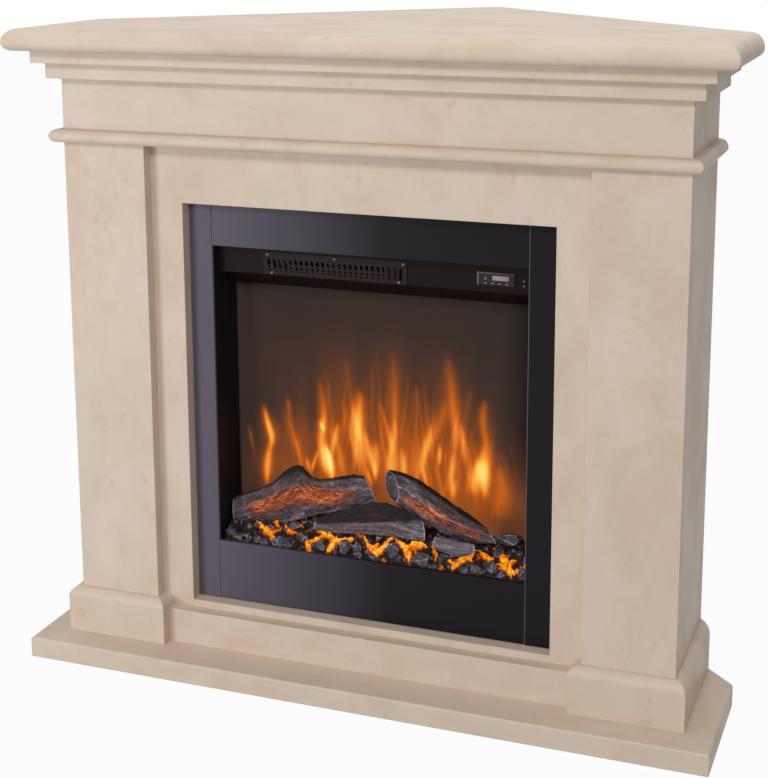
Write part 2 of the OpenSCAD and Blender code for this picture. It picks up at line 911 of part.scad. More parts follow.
// A button: its cap stands out of the bezel, and a flange behind the bezel keeps it in
module button_body(x, z) {
    stem_end = pcb_y - button_travel - switch_gap - 0.7;
    translate([x, 0, z]) {
        along_y(bezel_y - button_proud, hood_y + 0.1) children(0);
        along_y(hood_y + 0.1, hood_y + 0.1 + button_flange_t) children(1);
        rod_y(0.8, hood_y + 0.1, stem_end, 0, 0);
    }
}

module key(index)
    color(plastic)
        from_front()
            button_body(button_x[index], button_row_z) {
                key_outline(0);
                key_outline(button_flange - 0.2);
            }

module button_power()
    color(plastic)
        from_front()
            button_body(power_x, power_z) {
                circle(r = power_r);
                circle(r = power_r + button_flange);
            }

// Board behind the bezel: pads that seat it on the hood, tact switches and the display's holder
module display_board()
    color([0.05, 0.25, 0.12])
        from_front()
            difference() {
                union() {
                    box(
                        bezel_x - bezel_w/2 - 4, bezel_x + bezel_w/2 + 4, pcb_y, pcb_y + board_t_pcb,
                        bezel_z - bezel_h/2 - 2, bezel_z + bezel_h/2 + 4
                    );
                    for (side = [-1, 1])
                        translate([bezel_x + side*(bezel_w/2 + 1), (hood_y + sheet + pcb_y)/2, bezel_z])
                            cube([5, pcb_y - hood_y - sheet, 8], center = true);
                    for (x = button_x)
                        rod_y(0.9, pcb_y - 0.7, pcb_y, x, button_row_z);
                    rod_y(1.2, pcb_y - 0.7, pcb_y, power_x, power_z);
                    box(
                        display_x - display_w/2 + 2, display_x + display_w/2 - 2,
                        hood_y + 1, pcb_y, display_z - 2, display_z + 2
                    );
                }
            }

module indicator_lamps()
    color([0.8, 0.8, 0.8])
        from_front()
            for (z = lamp_z) {
                rod_y(lamp_r - 0.1, hood_y - 0.4, hood_y + sheet + 1.5, lamp_x, z);
                translate([lamp_x, hood_y - 0.4, z]) sphere(r = lamp_r - 0.1);
                rod_y(lamp_r + 0.6, hood_y + sheet, hood_y + sheet + 1.5, lamp_x, z);
            }

// ---------------------------------------------------------------- fire: blower and heater

wheel_x0 = wheel_x - wheel_l/2;
wheel_x1 = wheel_x + wheel_l/2;
plate_x0 = wheel_x - wheel_end;
plate_x1 = wheel_x + wheel_end;

function polar(r, a) = [r*cos(a), r*sin(a)];

// One blade's section, curved forward towards the rim, which stays inside the discs' edge
module blade_section() {
    steps = 4;
    thick = 0.9;
    rim = wheel_r - 0.6;
    edge = [
        for (k = [0:steps])
            let (t = k/steps)
            [wheel_r - blade_d + (rim - wheel_r + blade_d)*t, blade_curve*t*t]
    ];
    polygon(concat(
        [for (e = edge) polar(e[0], e[1])],
        [for (k = [steps:-1:0]) polar(edge[k][0], edge[k][1] + thick/edge[k][0]*180/PI)]
    ));
}

// Cross-flow wheel: three discs that carry the ring of curved blades, on one shaft
module blower_wheel() {
    disc_t = 1.2;
    color(zinc)
        from_front()
            translate([0, wheel_y, wheel_z])
                rotate([90, 0, 90]) {
                    for (x = [wheel_x0, wheel_x - disc_t/2, wheel_x1 - disc_t])
                        translate([0, 0, x]) cylinder(r = wheel_r, h = disc_t);
                    for (k = [0:wheel_blades - 1])
                        rotate([0, 0, 360*k/wheel_blades])
                            translate([0, 0, wheel_x0 + disc_t/2])
                                linear_extrude(wheel_l - disc_t) blade_section();
                    translate([0, 0, plate_x0 - 4])
                        cylinder(r = wheel_shaft_r, h = plate_x1 - plate_x0 + 4 + sheet + shaft_hold);
                }
}

// Section of the air path: the scroll round the wheel and the duct to the grille
module air_path() {
    translate([wheel_y, wheel_z]) circle(r = scroll_r);
    rect(hood_y + sheet, wheel_y, wheel_z - scroll_r, duct_top);
}

// Section of the housing's sheet: scroll open at the top rear, where the wheel draws its air
module scroll_section() {
    duct_floor = wheel_z - scroll_r;
    difference() {
        union() {
            translate([wheel_y, wheel_z]) circle(r = scroll_r + sheet);
            rect(hood_y + sheet, wheel_y, duct_floor - sheet, duct_top + sheet);
        }
        air_path();
        translate([wheel_y, wheel_z])
            polygon([[0, 0], [0, reach], [reach, reach], [reach, reach*0.2]]);
    }
}

module end_plate(x0)
    translate([x0, 0, 0])
        difference() {
            box(
                0, sheet, hood_y + sheet, wheel_y + scroll_r + 2*sheet,
                tray_top, wheel_z + scroll_r + 2*sheet
            );
            rod_x(bush_r, -1, sheet + 1, wheel_y, wheel_z);
        }

module blower_housing()
    color(zinc)
        from_front() {
            translate([wheel_x, 0, 0]) through_width(wheel_end + sheet/2) scroll_section();
            end_plate(plate_x0 - sheet);
            end_plate(plate_x1);
        }

// Bush in the left end plate, with a flange outside
module blower_bush()
    color(plastic)
        from_front()
            difference() {
                union() {
                    rod_x(bush_r, plate_x0 - sheet - 3, plate_x0 - sheet + bush_l - 2, wheel_y, wheel_z);
                    rod_x(bush_r + 2.5, plate_x0 - sheet - 3, plate_x0 - sheet, wheel_y, wheel_z);
                }
                rod_x(wheel_shaft_r + run_gap, plate_x0 - 20, plate_x0 + 20, wheel_y, wheel_z);
            }

// Motor on the right end plate; its boss fills the plate's hole and holds the shaft's end
module blower_motor() {
    face = plate_x1 + sheet;
    color(zinc)
        from_front()
            difference() {
                union() {
                    rod_x(blower_motor_r, face, face + blower_motor_l, wheel_y, wheel_z);
                    rod_x(bush_r, plate_x1, face, wheel_y, wheel_z);
                    rod_x(5, face, face + blower_motor_l + 4, wheel_y, wheel_z);
                    box(face, face + 2, wheel_y - 10, wheel_y + 10, tray_top, wheel_z);
                }
                rod_x(wheel_shaft_r + run_gap, plate_x1 - 1, face + shaft_hold + 1, wheel_y, wheel_z);
            }
}

// Heating element in the duct: a mica frame with a row of ribbon coils
module heating_element() {
    z0 = wheel_z - scroll_r;
    z1 = duct_top;
    y0 = hood_y + 8;
    d = 12;
    t = 2;
    ribbons = 24;
    color([0.65, 0.55, 0.42])
        from_front()
            union() {
                difference() {
                    box(plate_x0, plate_x1, y0, y0 + d, z0, z1);
                    box(plate_x0 + t, plate_x1 - t, y0 - 1, y0 + d + 1, z0 + t, z1 - t);
                }
                for (k = [1:ribbons]) {
                    x = plate_x0 + t + (plate_x1 - plate_x0 - 2*t)*k/(ribbons + 1);
                    box(x - 0.5, x + 0.5, y0 + 3, y0 + d - 3, z0 + t - eps, z1 - t + eps);
                }
            }
}

// Main board on four pillars above the tray: transformer, two relays, capacitors and terminals
module control_board() {
    x0 = plate_x1 + sheet + blower_motor_l + board_gap;
    x1 = window_x - board_gap;
    y0 = hood_y + sheet + 2*board_gap;
    y1 = casing_back - sheet - 1.5*board_gap;
    w = x1 - x0;
    d = y1 - y0;
    base = tray_top + board_rise;
    tall = board_parts_h;
    color([0.05, 0.25, 0.12])
        from_front() {
            box(x0, x1, y0, y1, base, base + board_t_pcb);
            for (x = [x0 + pillar_r*2, x1 - pillar_r*2])
                for (y = [y0 + pillar_r*2, y1 - pillar_r*2])
                    translate([x, y, tray_top]) cylinder(r = pillar_r, h = base - tray_top + eps);
            box(x0 + 0.10*w, x0 + 0.34*w, y1 - 0.40*d, y1 - 0.14*d, base, base + tall);
            for (share = [0.14, 0.34])
                box(x1 - 0.24*w, x1 - 0.12*w, y1 - (share + 0.12)*d, y1 - share*d, base, base + tall/2);
            for (k = [0:2])
                translate([x0 + (0.12 + 0.10*k)*w, y0 + 0.18*d, base])
                    cylinder(r = tall/6, h = 0.65*tall);
            box(x1 - 0.30*w, x1 - 0.06*w, y0 + 0.08*d, y0 + 0.17*d, base, base + 0.4*tall);
        }
}

// ---------------------------------------------------------------- fire: flame effect

module flame_screen()
    color([0.25, 0.22, 0.20])
        from_front()
            box(-window_x, window_x, screen_y, screen_back, floor_z, tray_z - 14);

// Outline of one flame: height h, half width w, swaying by sway
function flame_side(h, w, sway, side) = [
    for (k = [0:8])
        let (t = k/8, bend = sway*sin(200*t)*t)
        [side*w*pow(sin(180*pow(t, 0.6)*0.999 + 0.1), 0.8)*(1 - 0.55*t) + bend, h*t]
];

module flame_cut(h, w, sway) {
    right = flame_side(h, w, sway, 1);
    left = flame_side(h, w, sway, -1);
    polygon(concat([for (k = [0:7]) right[k]], [[sway*sin(200), h]], [for (k = [7:-1:1]) left[k]]));
}

flame_count = 11;

// Reflector sheet with flame-shaped cut-outs, folded forward at its foot to stand on the floor
module flame_stencil() {
    pitch = 2*(window_x - 30)/(flame_count - 1);
    foot = 14;
    color(zinc)
        from_front() {
            difference() {
                box(-window_x, window_x, stencil_y, stencil_y + 1, floor_z, floor_z + foot + stencil_h);
                for (k = [0:flame_count - 1])
                    translate([
                        -window_x + 30 + k*pitch, stencil_y + 2,
                        floor_z + rotor_rise + 6*sin(97*k)
                    ])
                        rotate([90, 0, 0])
                            linear_extrude(4)
                                flame_cut(
                                    stencil_h*(0.50 + 0.20*sin(131*k + 20)), 9 + 3*sin(71*k),
                                    6*sin(113*k)
                                );
            }
            box(-window_x, window_x, stencil_y, stencil_y + foot/2, floor_z, floor_z + 1);
        }
}

// Rotor: a shaft with three twisted reflectors at each station, each station turned a little
module flame_rotor() {
    x0 = rotor_bracket_x + 16;
    span = rotor_motor_x - boss_l - 8 - x0;
    step = span/rotor_stations;
    color(zinc)
        from_front()
            translate([0, rotor_y, rotor_z])
                rotate([90, 0, 90]) {
                    translate([0, 0, -window_x + 4])
                        cylinder(r = rotor_shaft_r, h = rotor_end + window_x - 4);
                    for (k = [0:rotor_stations - 1])
                        for (arm = [0:2])
                            rotate([0, 0, 120*arm + 25*k])
                                translate([rotor_r/2, 0, x0 + step*(k + 0.5)])
                                    rotate([24, 0, 0])
                                        cube([rotor_r - 2.4, 0.8, vane_w], center = true);
                }
}

// Sheet bracket that stands on the floor and holds the rotor's left bush
module rotor_bracket() {
    x = rotor_bracket_x;
    color(zinc)
        from_front()
            difference() {
                union() {
                    box(x, x + sheet, rotor_y - 12, rotor_y + 12, floor_z, rotor_z);
                    rod_x(12, x, x + sheet, rotor_y, rotor_z);
                    box(x - 10, x + sheet, rotor_y - 12, rotor_y + 12, floor_z, floor_z + sheet);
                    rod_x(bush_r, x - 3, x + 5, rotor_y, rotor_z);
                }
                rod_x(rotor_shaft_r + run_gap, x - 20, x + 20, rotor_y, rotor_z);
            }
}

// Geared motor on the casing's right wall, with a boss that takes the rotor's end
module rotor_motor() {
    x = rotor_motor_x;
    color(zinc)
        from_front()
            difference() {
                union() {
                    rod_x(rotor_motor_r, x, window_x, rotor_y, rotor_z);
                    rod_x(bush_r, x - boss_l, x, rotor_y, rotor_z);
                    box(window_x - 2, window_x, rotor_y - ear_l, rotor_y + ear_l, rotor_z - 6, rotor_z + 6);
                }
                rod_x(rotor_shaft_r + run_gap, x - boss_l - 1, x, rotor_y, rotor_z);
            }
}

// Two strips of lamps on the casing's floor: one under the bed, one under the rotor
module led_strips() {
    lamps = 14;
    half = window_x - 40;
    color([0.9, 0.9, 0.85])
        from_front()
            for (y = [(bed_y + bed_back)/2, rotor_y]) {
                box(-half, half, y - 7, y + 7, floor_z, floor_z + strip_t);
                for (k = [0:lamps - 1])
                    translate([-half + 2*half*(k + 0.5)/lamps, y, floor_z + strip_t + 1 - eps])
                        cube([5, 5, 2], center = true);
            }
}

// ---------------------------------------------------------------- fire: ember bed and logs

bed_nx = 84;
bed_ny = 12;
bed_z = floor_z + bed_h;

// A number from 0 to 1 that looks random but is always the same for the same cell
function scatter(i, j) = let (s = sin(i*127.1 + j*311.7 + 9)*43.7) s - floor(s);

// Middle of the coal in cell (i, j)
function coal_at(i, j) = coal_w*[
    i + 0.5 + 0.7*(scatter(i, j) - 0.5),
    j + 0.5 + 0.7*(scatter(j + 40, i) - 0.5)
];

// Height of the nearest coal at a place on the bed, 0 to 1: flat on top, steep at its sides
function coal(x, y) =
    let (
        i = floor(x/coal_w),
        j = floor(y/coal_w),
        near = min([for (a = [-1:1]) for (b = [-1:1]) norm(coal_at(i + a, j + b) - [x, y])])
    )
    min(1, max(0, 1.7*(1 - near/(0.72*coal_w))));

// The bed climbs quickly at the front and levels out towards the screen
function bed_level(share) = bed_z + bed_rise*pow(sin(90*share), 0.8);

function bed_top(i, j) =
    let (
        x = -bed_x + 2*bed_x*i/bed_nx,
        y = bed_y + (bed_back - bed_y)*j/bed_ny,
        edge = (i == 0 || i == bed_nx || j == 0 || j == bed_ny) ? 0.3 : 1
    )
    [x, y, bed_level(j/bed_ny) + edge*coal_h*coal(x, y)];

// Bed in one piece: coals on top, flat underneath, with a skirt that stands on the casing's floor
module ember_bed() {
    row = bed_ny + 1;
    mid_y = (bed_y + bed_back)/2;
    inset = [1 - bed_t/bed_x, 1 - 2*bed_t/(bed_back - bed_y)];
    top = [for (i = [0:bed_nx]) for (j = [0:bed_ny]) bed_top(i, j)];
    rim = concat(
        [for (i = [0:bed_nx - 1]) i*row],
        [for (j = [0:bed_ny - 1]) bed_nx*row + j],
        [for (i = [bed_nx:-1:1]) i*row + bed_ny],
        [for (j = [bed_ny:-1:1]) j]
    );
    n = len(rim);
    outer = len(top);
    inner = outer + n;
    roof = inner + n;
    foot_out = [for (k = rim) [top[k][0], top[k][1], floor_z]];
    foot_in = [for (p = foot_out) [p[0]*inset[0], mid_y + (p[1] - mid_y)*inset[1], floor_z]];
    under = [for (p = foot_in) [p[0], p[1], bed_z - bed_t]];
    skin = [
        for (i = [0:bed_nx - 1])
            for (j = [0:bed_ny - 1])
                let (a = i*row + j, b = a + row)
                each [[a, a + 1, b + 1], [a, b + 1, b]]
    ];
    walls = [
        for (k = [0:n - 1])
            let (next = (k + 1) % n)
            each [
                [rim[k], rim[next], outer + next], [rim[k], outer + next, outer + k],
                [outer + k, outer + next, inner + next], [outer + k, inner + next, inner + k],
                [inner + k, inner + next, roof + next], [inner + k, roof + next, roof + k],
                [roof + k, roof + next, roof + n]
            ]
    ];
    color([0.35, 0.16, 0.07])
        from_front()
            polyhedron(
                concat(top, foot_out, foot_in, under, [[0, mid_y, bed_z - bed_t]]),
                concat(skin, walls)
            );
}

// A log's surface at angle a and share t of its length: radius factor with ridges and swellings
function bark_r(a, t, seed) =
    1 + 0.07*sin(3*a + 200*t + seed) + 0.05*sin(5*a - 340*t + 2*seed) + 0.05*sin(2*a + 700*t + 3*seed);

function bark_ridge(a, t, seed) = bark*sin(9*a + 25*sin(900*t + seed));

// Value on a smooth curve through the list v at share t
function along(v, t) =
    let (
        s = t*(len(v) - 1),
        k = min(floor(s), len(v) - 2),
        f = s - k
    )
    v[k]*(1 - f) + v[k + 1]*f;

// Solid log: rings of points round a centreline given as [x, y, z, radius], squeezed in depth
module log_body(line, squeeze, seed) {
    rings = 22;
    sides = 18;
    points = [
        for (i = [0:rings])
            let (
                t = i/rings,
                p = along(line, t),
                tip = (i == 0 || i == rings) ? 0.86 : 1
            )
            for (j = [0:sides - 1])
                let (
                    a = 360*j/sides,
                    r = tip*(p[3]*bark_r(a, t, seed) + bark_ridge(a, t, seed))
                )
                [
                    p[0] + 2*sin(a*2 + seed)*(tip < 1 ? 1 : 0),
                    p[1] + squeeze*r*cos(a),
                    p[2] + r*sin(a)
                ]
    ];
    side_faces = [
        for (i = [0:rings - 1])
            for (j = [0:sides - 1])
                let (
                    a = i*sides + j,
                    b = i*sides + (j + 1) % sides,
                    c = a + sides,
                    d = b + sides
                )
                each [[a, b, d], [a, d, c]]
    ];
    last = rings*sides;
    caps = concat(
        [for (j = [1:sides - 2]) [0, j + 1, j]],
        [for (j = [1:sides - 2]) [last, last + j, last + j + 1]]
    );
    polyhedron(points, concat(side_faces, caps));
}

// Turns shares into a log's centreline: [share of the bed's half width, place in depth, rise above
// the bed's front edge, radius], the last three in log radii, to [x, y, z, radius]
function log_line(shares) = [
    for (p = shares) [p[0]*bed_x, log_y + p[1]*log_r, bed_z + p[2]*log_r, p[3]*log_r]
];

log_y = (bed_y + bed_back)/2 + 0.4*log_r;
log_left_line = log_line([
    [-0.98, 0, 2.30, 0.95], [-0.80, 0, 2.70, 1.35], [-0.66, 0, 3.35, 1.65],
    [-0.56, 0, 4.10, 1.95], [-0.46, 0, 3.95, 1.50], [-0.30, 0, 4.45, 1.20],
    [-0.056, 0.10, 5.00, 1.00]
]);
log_right_line = log_line([
    [0.108, -0.05, 5.70, 1.00], [0.30, 0, 4.85, 1.05], [0.50, 0, 3.85, 1.10],
    [0.66, 0, 3.10, 0.95], [0.78, 0, 2.65, 0.70]
]);
log_middle_line = log_line([
    [-0.35, -0.75, 2.05, 0.55], [-0.12, -0.75, 2.35, 0.75],
    [0.12, -0.75, 2.55, 0.80], [0.31, -0.75, 2.65, 0.70]
]);
log_stub_line = log_line([
    [0.39, -1.20, 1.80, 0.70], [0.51, -1.20, 1.85, 0.85], [0.63, -1.10, 1.80, 0.70]
]);

module bark_log(line, squeeze, seed) color(bark_grey) from_front() log_body(line, squeeze, seed);

// ---------------------------------------------------------------- the whole object

hearth_slab();
foot(true);  // foot_left
foot(false);  // foot_right
pilaster(true);  // pilaster_left
pilaster(false);  // pilaster_right
surround_panel();
base_rail();
frieze_front();
frieze_side(true);  // frieze_left
frieze_side(false);  // frieze_right
astragal_front();
astragal_side(true);  // astragal_left
astragal_side(false);  // astragal_right
cornice_front();
cornice_side(true);  // cornice_left
cornice_side(false);  // cornice_right
mantel_shelf();
shelf_batten(true);  // batten_left
shelf_batten(false);  // batten_right
angle_brackets();
bracket_screws();
insert_bearers();
trim_side(true);  // trim_left
trim_side(false);  // trim_right
trim_top();
trim_bottom();
casing();
flange_screws();
rear_cover();
cover_screws();
cord_gland();
hood();
outlet_grille();
grille_screws();
control_bezel();
display_window();
display_board();
indicator_lamps();
button_power();
key(0);  // button_flame
key(1);  // button_heat
key(2);  // button_timer
key(3);  // button_dimmer
blower_housing();
blower_wheel();
blower_bush();
blower_motor();
heating_element();
control_board();
flame_screen();
flame_stencil();
flame_rotor();
rotor_bracket();
rotor_motor();
led_strips();
ember_bed();
bark_log(log_left_line, 0.58, 20);  // log_left
bark_log(log_right_line, 0.85, 140);  // log_right
bark_log(log_middle_line, 1, 75);  // log_middle
bark_log(log_stub_line, 0.9, 200);  // log_stub
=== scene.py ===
import math
import random

import bmesh
import bpy
import numpy as np
from mathutils import Matrix, Vector, noise


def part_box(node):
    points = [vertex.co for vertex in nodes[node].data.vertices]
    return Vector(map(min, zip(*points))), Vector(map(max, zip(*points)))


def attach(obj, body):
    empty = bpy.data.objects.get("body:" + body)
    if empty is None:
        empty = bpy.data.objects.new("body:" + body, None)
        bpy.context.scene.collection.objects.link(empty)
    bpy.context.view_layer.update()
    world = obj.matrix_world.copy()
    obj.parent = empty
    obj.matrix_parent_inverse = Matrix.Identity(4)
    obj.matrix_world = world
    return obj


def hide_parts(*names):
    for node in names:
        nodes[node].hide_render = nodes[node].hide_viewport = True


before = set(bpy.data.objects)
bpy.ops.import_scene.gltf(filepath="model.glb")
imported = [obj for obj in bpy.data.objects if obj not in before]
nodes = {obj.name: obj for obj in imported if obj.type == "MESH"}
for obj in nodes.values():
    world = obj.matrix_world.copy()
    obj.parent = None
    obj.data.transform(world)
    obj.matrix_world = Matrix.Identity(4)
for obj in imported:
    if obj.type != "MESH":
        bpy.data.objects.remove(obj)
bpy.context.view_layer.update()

MM = 0.001
SHIFT_Y = -325.0  # millimetres from the mantel's front face to the frame's origin
WHITE = (1, 1, 1, 1)
BLACK = (0, 0, 0, 1)


def at(x, y, z):
    """A place in millimetres from the mantel's front face and the floor, as a point in the frame."""
    return Vector((x * MM, (y + SHIFT_Y) * MM, z * MM))


def hump(distance, width):
    """1 at no distance, falling off smoothly over the width."""
    return math.exp(-((distance / width) ** 2))


def add_object(name, data):
    """A new object in the scene."""
    new = bpy.data.objects.new(name, data)
    bpy.context.scene.collection.objects.link(new)
    return new


# -------- camera

PHOTO_WIDTH, PHOTO_HEIGHT = 768, 778
SENSOR = 36.0
FOCAL = 1594.4  # in pixels of the photograph, as the optical centre is
OPTICAL_CENTRE = (381.3, 235.8)
AZIMUTH, ELEVATION, ROLL = (math.radians(angle) for angle in (20.557, 11.273, -0.259))
CAMERA_AT = (824.3, -2096.3, 1159.2)
FAR = 100


def make_camera():
    """A camera at the photograph's place, with the photograph's frame."""
    level = Vector((math.sin(AZIMUTH), -math.cos(AZIMUTH), 0))
    back = math.cos(ELEVATION) * level + Vector((0, 0, math.sin(ELEVATION)))
    right = Vector((math.cos(AZIMUTH), math.sin(AZIMUTH), 0))
    up = back.cross(right)
    x_axis = math.cos(ROLL) * right + math.sin(ROLL) * up
    y_axis = -math.sin(ROLL) * right + math.cos(ROLL) * up
    camera = bpy.data.cameras.new("camera")
    camera.sensor_fit = "HORIZONTAL"
    camera.sensor_width = SENSOR
    camera.lens = FOCAL / PHOTO_WIDTH * SENSOR
    camera.shift_x = (PHOTO_WIDTH / 2 - OPTICAL_CENTRE[0]) / PHOTO_WIDTH
    camera.shift_y = (OPTICAL_CENTRE[1] - PHOTO_HEIGHT / 2) / PHOTO_WIDTH
    camera.clip_end = FAR
    holder = add_object("camera", camera)
    stand = Matrix((x_axis, y_axis, back)).transposed().to_4x4()
    stand.translation = at(*CAMERA_AT)
    holder.matrix_world = stand
    bpy.context.scene.camera = holder


make_camera()

# -------- node helpers


def lin(r, g, b):
    """A colour given in 0-255 steps, as linear RGBA."""
    steps = [v / 255 for v in (r, g, b)]
    return (*(v / 12.92 if v <= 0.04045 else ((v + 0.055) / 1.055) ** 2.4 for v in steps), 1.0)


def tinted(colour, factor, lift=0.0):
    """A colour made lighter or darker."""
    return (*(min(1, k * factor + lift) for k in colour[:3]), 1)


class Tree:
    """Helper that builds one procedural material, or the world."""

    def __init__(self, name, blocks=bpy.data.materials, output="OutputMaterial"):
        self.block = blocks.new(name)
        self.block.use_nodes = True
        self.tree = self.block.node_tree
        self.tree.nodes.clear()
        self.out = self.node(output)

    def node(self, kind, ins=None, **settings):
        """A new shader node, with its settings and its inputs' values or links."""
        n = self.tree.nodes.new("ShaderNode" + kind)
        for key, value in settings.items():
            setattr(n, key, value)
        for key, value in (ins or {}).items():
            self.set(n.inputs[key], value)
        return n

    def set(self, socket, value):
        if isinstance(value, bpy.types.NodeSocket):
            self.tree.links.new(value, socket)
        else:
            socket.default_value = value

    def place(self, scale=(1, 1, 1), offset=(0, 0, 0), turn=0):
        """The place on the object, turned about the vertical by degrees, then stretched and shifted."""
        c = self.node("TexCoord").outputs["Object"]
        c = self.node("Mapping", {"Vector": c, "Rotation": (0, 0, math.radians(turn))}).outputs[0]
        return self.node("Mapping", {"Vector": c, "Scale": scale, "Location": offset}).outputs[0]

    def stretch(self, vec, scale):
        return self.node("Mapping", {"Vector": vec, "Scale": scale}).outputs[0]

    def parts(self, vec):
        """The x, y and z of a vector."""
        return self.node("SeparateXYZ", {0: vec}).outputs

    def noise(self, vec, scale, detail=4.0, rough=0.5, warp=0.0):
        ins = {"Vector": vec, "Scale": scale, "Detail": detail, "Roughness": rough, "Distortion": warp}
        return self.node("TexNoise", ins).outputs[0]

    def ramp(self, fac, stops):
        n = self.node("ValToRGB", {"Fac": fac})
        elements = n.color_ramp.elements
        while len(elements) < len(stops):
            elements.new(0.5)
        for element, (position, colour) in zip(elements, stops):
            element.position = position
            element.color = colour
        return n.outputs[0]

    def span(self, fac, low, high, to_low=0.0, to_high=1.0):
        """A value that goes from to_low to to_high while fac goes from low to high, and stays there."""
        ins = {"Value": fac, "From Min": low, "From Max": high, "To Min": to_low, "To Max": to_high}
        return self.node("MapRange", ins).outputs[0]

    def mix(self, fac, a, b):
        n = self.node("Mix", data_type="RGBA")
        for socket, value in ((0, fac), (6, a), (7, b)):
            self.set(n.inputs[socket], value)
        return n.outputs[2]

    def math(self, operation, a, b=0.0):
        return self.node("Math", {0: a, 1: b}, operation=operation).outputs[0]

    def times(self, a, b):
        return self.math("MULTIPLY", a, b)

    def attribute(self, name, output="Fac"):
        return self.node("Attribute", attribute_name=name).outputs[output]

    def bump(self, height, strength=0.3, distance=0.001, normal=None):
        ins = {"Height": height, "Strength": strength, "Distance": distance}
        if normal is not None:
            ins["Normal"] = normal
        return self.node("Bump", ins).outputs[0]

    def bevel(self, radius):
        return self.node("Bevel", {"Radius": radius}, samples=6).outputs[0]

    def seen(self):
        """1 for what the camera sees by itself, through glass or in a mirror, otherwise 0."""
        path = self.node("LightPath").outputs
        direct = self.math("MAXIMUM", path["Is Camera Ray"], path["Is Transmission Ray"])
        return self.math("MAXIMUM", direct, path["Is Glossy Ray"])

    def close(self, shader):
        self.tree.links.new(shader.outputs[0], self.out.inputs[0])
        return self.block

    def finish(self, colour, rough, **sockets):
        """The finished material: a Principled shader with this colour, roughness and other inputs."""
        ins = {key.replace("_", " "): value for key, value in sockets.items()}
        return self.close(self.node("BsdfPrincipled", {"Base Color": colour, "Roughness": rough, **ins}))


def put(material, *names):
    """Give CAD nodes this material."""
    for name in names:
        slots = nodes[name].data.materials
        slots.clear()
        slots.append(material)


# -------- the mantel

UPRIGHT = ("foot_left", "foot_right", "pilaster_left", "pilaster_right", "surround_panel")
COURSES = [row + side for row in ("frieze", "astragal", "cornice") for side in ("_front", "_left", "_right")]
BOARDS = ["hearth_slab", *UPRIGHT, "base_rail", *COURSES, "mantel_shelf"]


def stone(name, seed, upright):
    """Cast stone: cream, cloudy, with faint pink and yellow patches, pale veins and darker flecks."""
    t = Tree(name)
    stretch = (1, 1, 0.7) if upright else (0.7, 1, 1)
    v = t.place(stretch, (seed * 1.7, seed * 0.9, seed * 2.3))
    cloud = t.noise(v, 4.5, 5, 0.55, 0.4)
    patch = t.noise(v, 13, 5, 0.6, 0.3)
    fleck = t.noise(v, 34, 4, 0.65, 0.2)
    vein = t.noise(v, 6, 6, 0.7, 1.6)
    base = t.ramp(cloud, [
        (0.3, lin(205, 184, 166)), (0.45, lin(214, 196, 179)),
        (0.58, lin(209, 194, 174)), (0.72, lin(218, 200, 186)),
    ])
    base = t.mix(t.span(patch, 0.5, 0.66, 0, 0.7), base, lin(204, 184, 161))
    base = t.mix(t.span(patch, 0.46, 0.32, 0, 0.6), base, lin(217, 197, 184))
    base = t.mix(t.span(fleck, 0.6, 0.74, 0, 0.45), base, lin(184, 165, 143))
    edge = t.math("ABSOLUTE", t.math("SUBTRACT", vein, 0.5))
    base = t.mix(t.span(edge, 0.012, 0, 0, 0.16), base, lin(228, 214, 201))
    fine = t.noise(v, 420, 3, 0.6)
    rough = t.span(patch, 0.3, 0.7, 0.46, 0.56)
    normal = t.bump(fine, 0.05, 0.0006, t.bump(patch, 0.05, 0.004, t.bevel(0.0016)))
    return t.finish(base, rough, Normal=normal, Specular_IOR_Level=0.25)


def timber(name, turn):
    """Planed pine with its grain along x, turned about the vertical by some degrees."""
    t = Tree(name)
    ring = t.noise(t.place((1.2, 14, 14), turn=turn), 5, 5, 0.55, 0.6)
    fibre = t.noise(t.place((6, 160, 160), turn=turn), 5, 4, 0.6)
    c = t.ramp(ring, [(0.3, lin(176, 136, 92)), (0.5, lin(200, 163, 116)), (0.7, lin(216, 184, 140))])
    c = t.mix(t.span(fibre, 0.45, 0.7, 0, 0.35), c, lin(150, 112, 74))
    return t.finish(c, 0.72, Normal=t.bump(fibre, 0.2, 0.0005, t.bevel(0.001)))


def dress_mantel():
    for seed, name in enumerate(BOARDS, 1):
        put(stone("stone_" + name, seed, name in UPRIGHT), name)
    for name, turn in (("batten_left", -45), ("batten_right", 45), ("insert_bearers", 90)):
        put(timber("pine_" + name, turn), name)


dress_mantel()

# -------- metal and plastic

REFLECTION_FADES = (-0.29, 0.03)  # the x in metres where the trims' painted reflection begins and ends to fade to black


def metal(name, colour, rough):
    """Bare sheet metal with a faint spangle, brushed a little."""
    t = Tree(name)
    brushed = t.noise(t.place((30, 30, 400)), 6, 5, 0.6)
    spangle = t.noise(t.place(), 60, 3, 0.5)
    return t.finish(
        t.mix(t.span(spangle, 0.35, 0.65), tinted(colour, 0.85), colour),
        t.span(brushed, 0.3, 0.7, rough - 0.06, rough + 0.08), Metallic=1.0,
        Normal=t.bump(brushed, 0.06, 0.0004, t.bevel(0.0003)),
    )


def enamel(name, colour, level, rough=0.5):
    """Baked satin paint on sheet steel, or moulded plastic, with a fine orange-peel surface."""
    t = Tree(name)
    v = t.place()
    peel = t.noise(v, 900, 2, 0.5)
    cloud = t.noise(v, 9, 4, 0.6)
    return t.finish(
        t.mix(t.span(cloud, 0.35, 0.7, 0, 0.5), colour, tinted(colour, 1.25, 0.002)),
        t.span(cloud, 0.3, 0.7, rough - 0.03, rough + 0.04),
        Normal=t.bump(peel, 0.10, 0.0002, t.bevel(0.0006)), Specular_IOR_Level=level,
    )


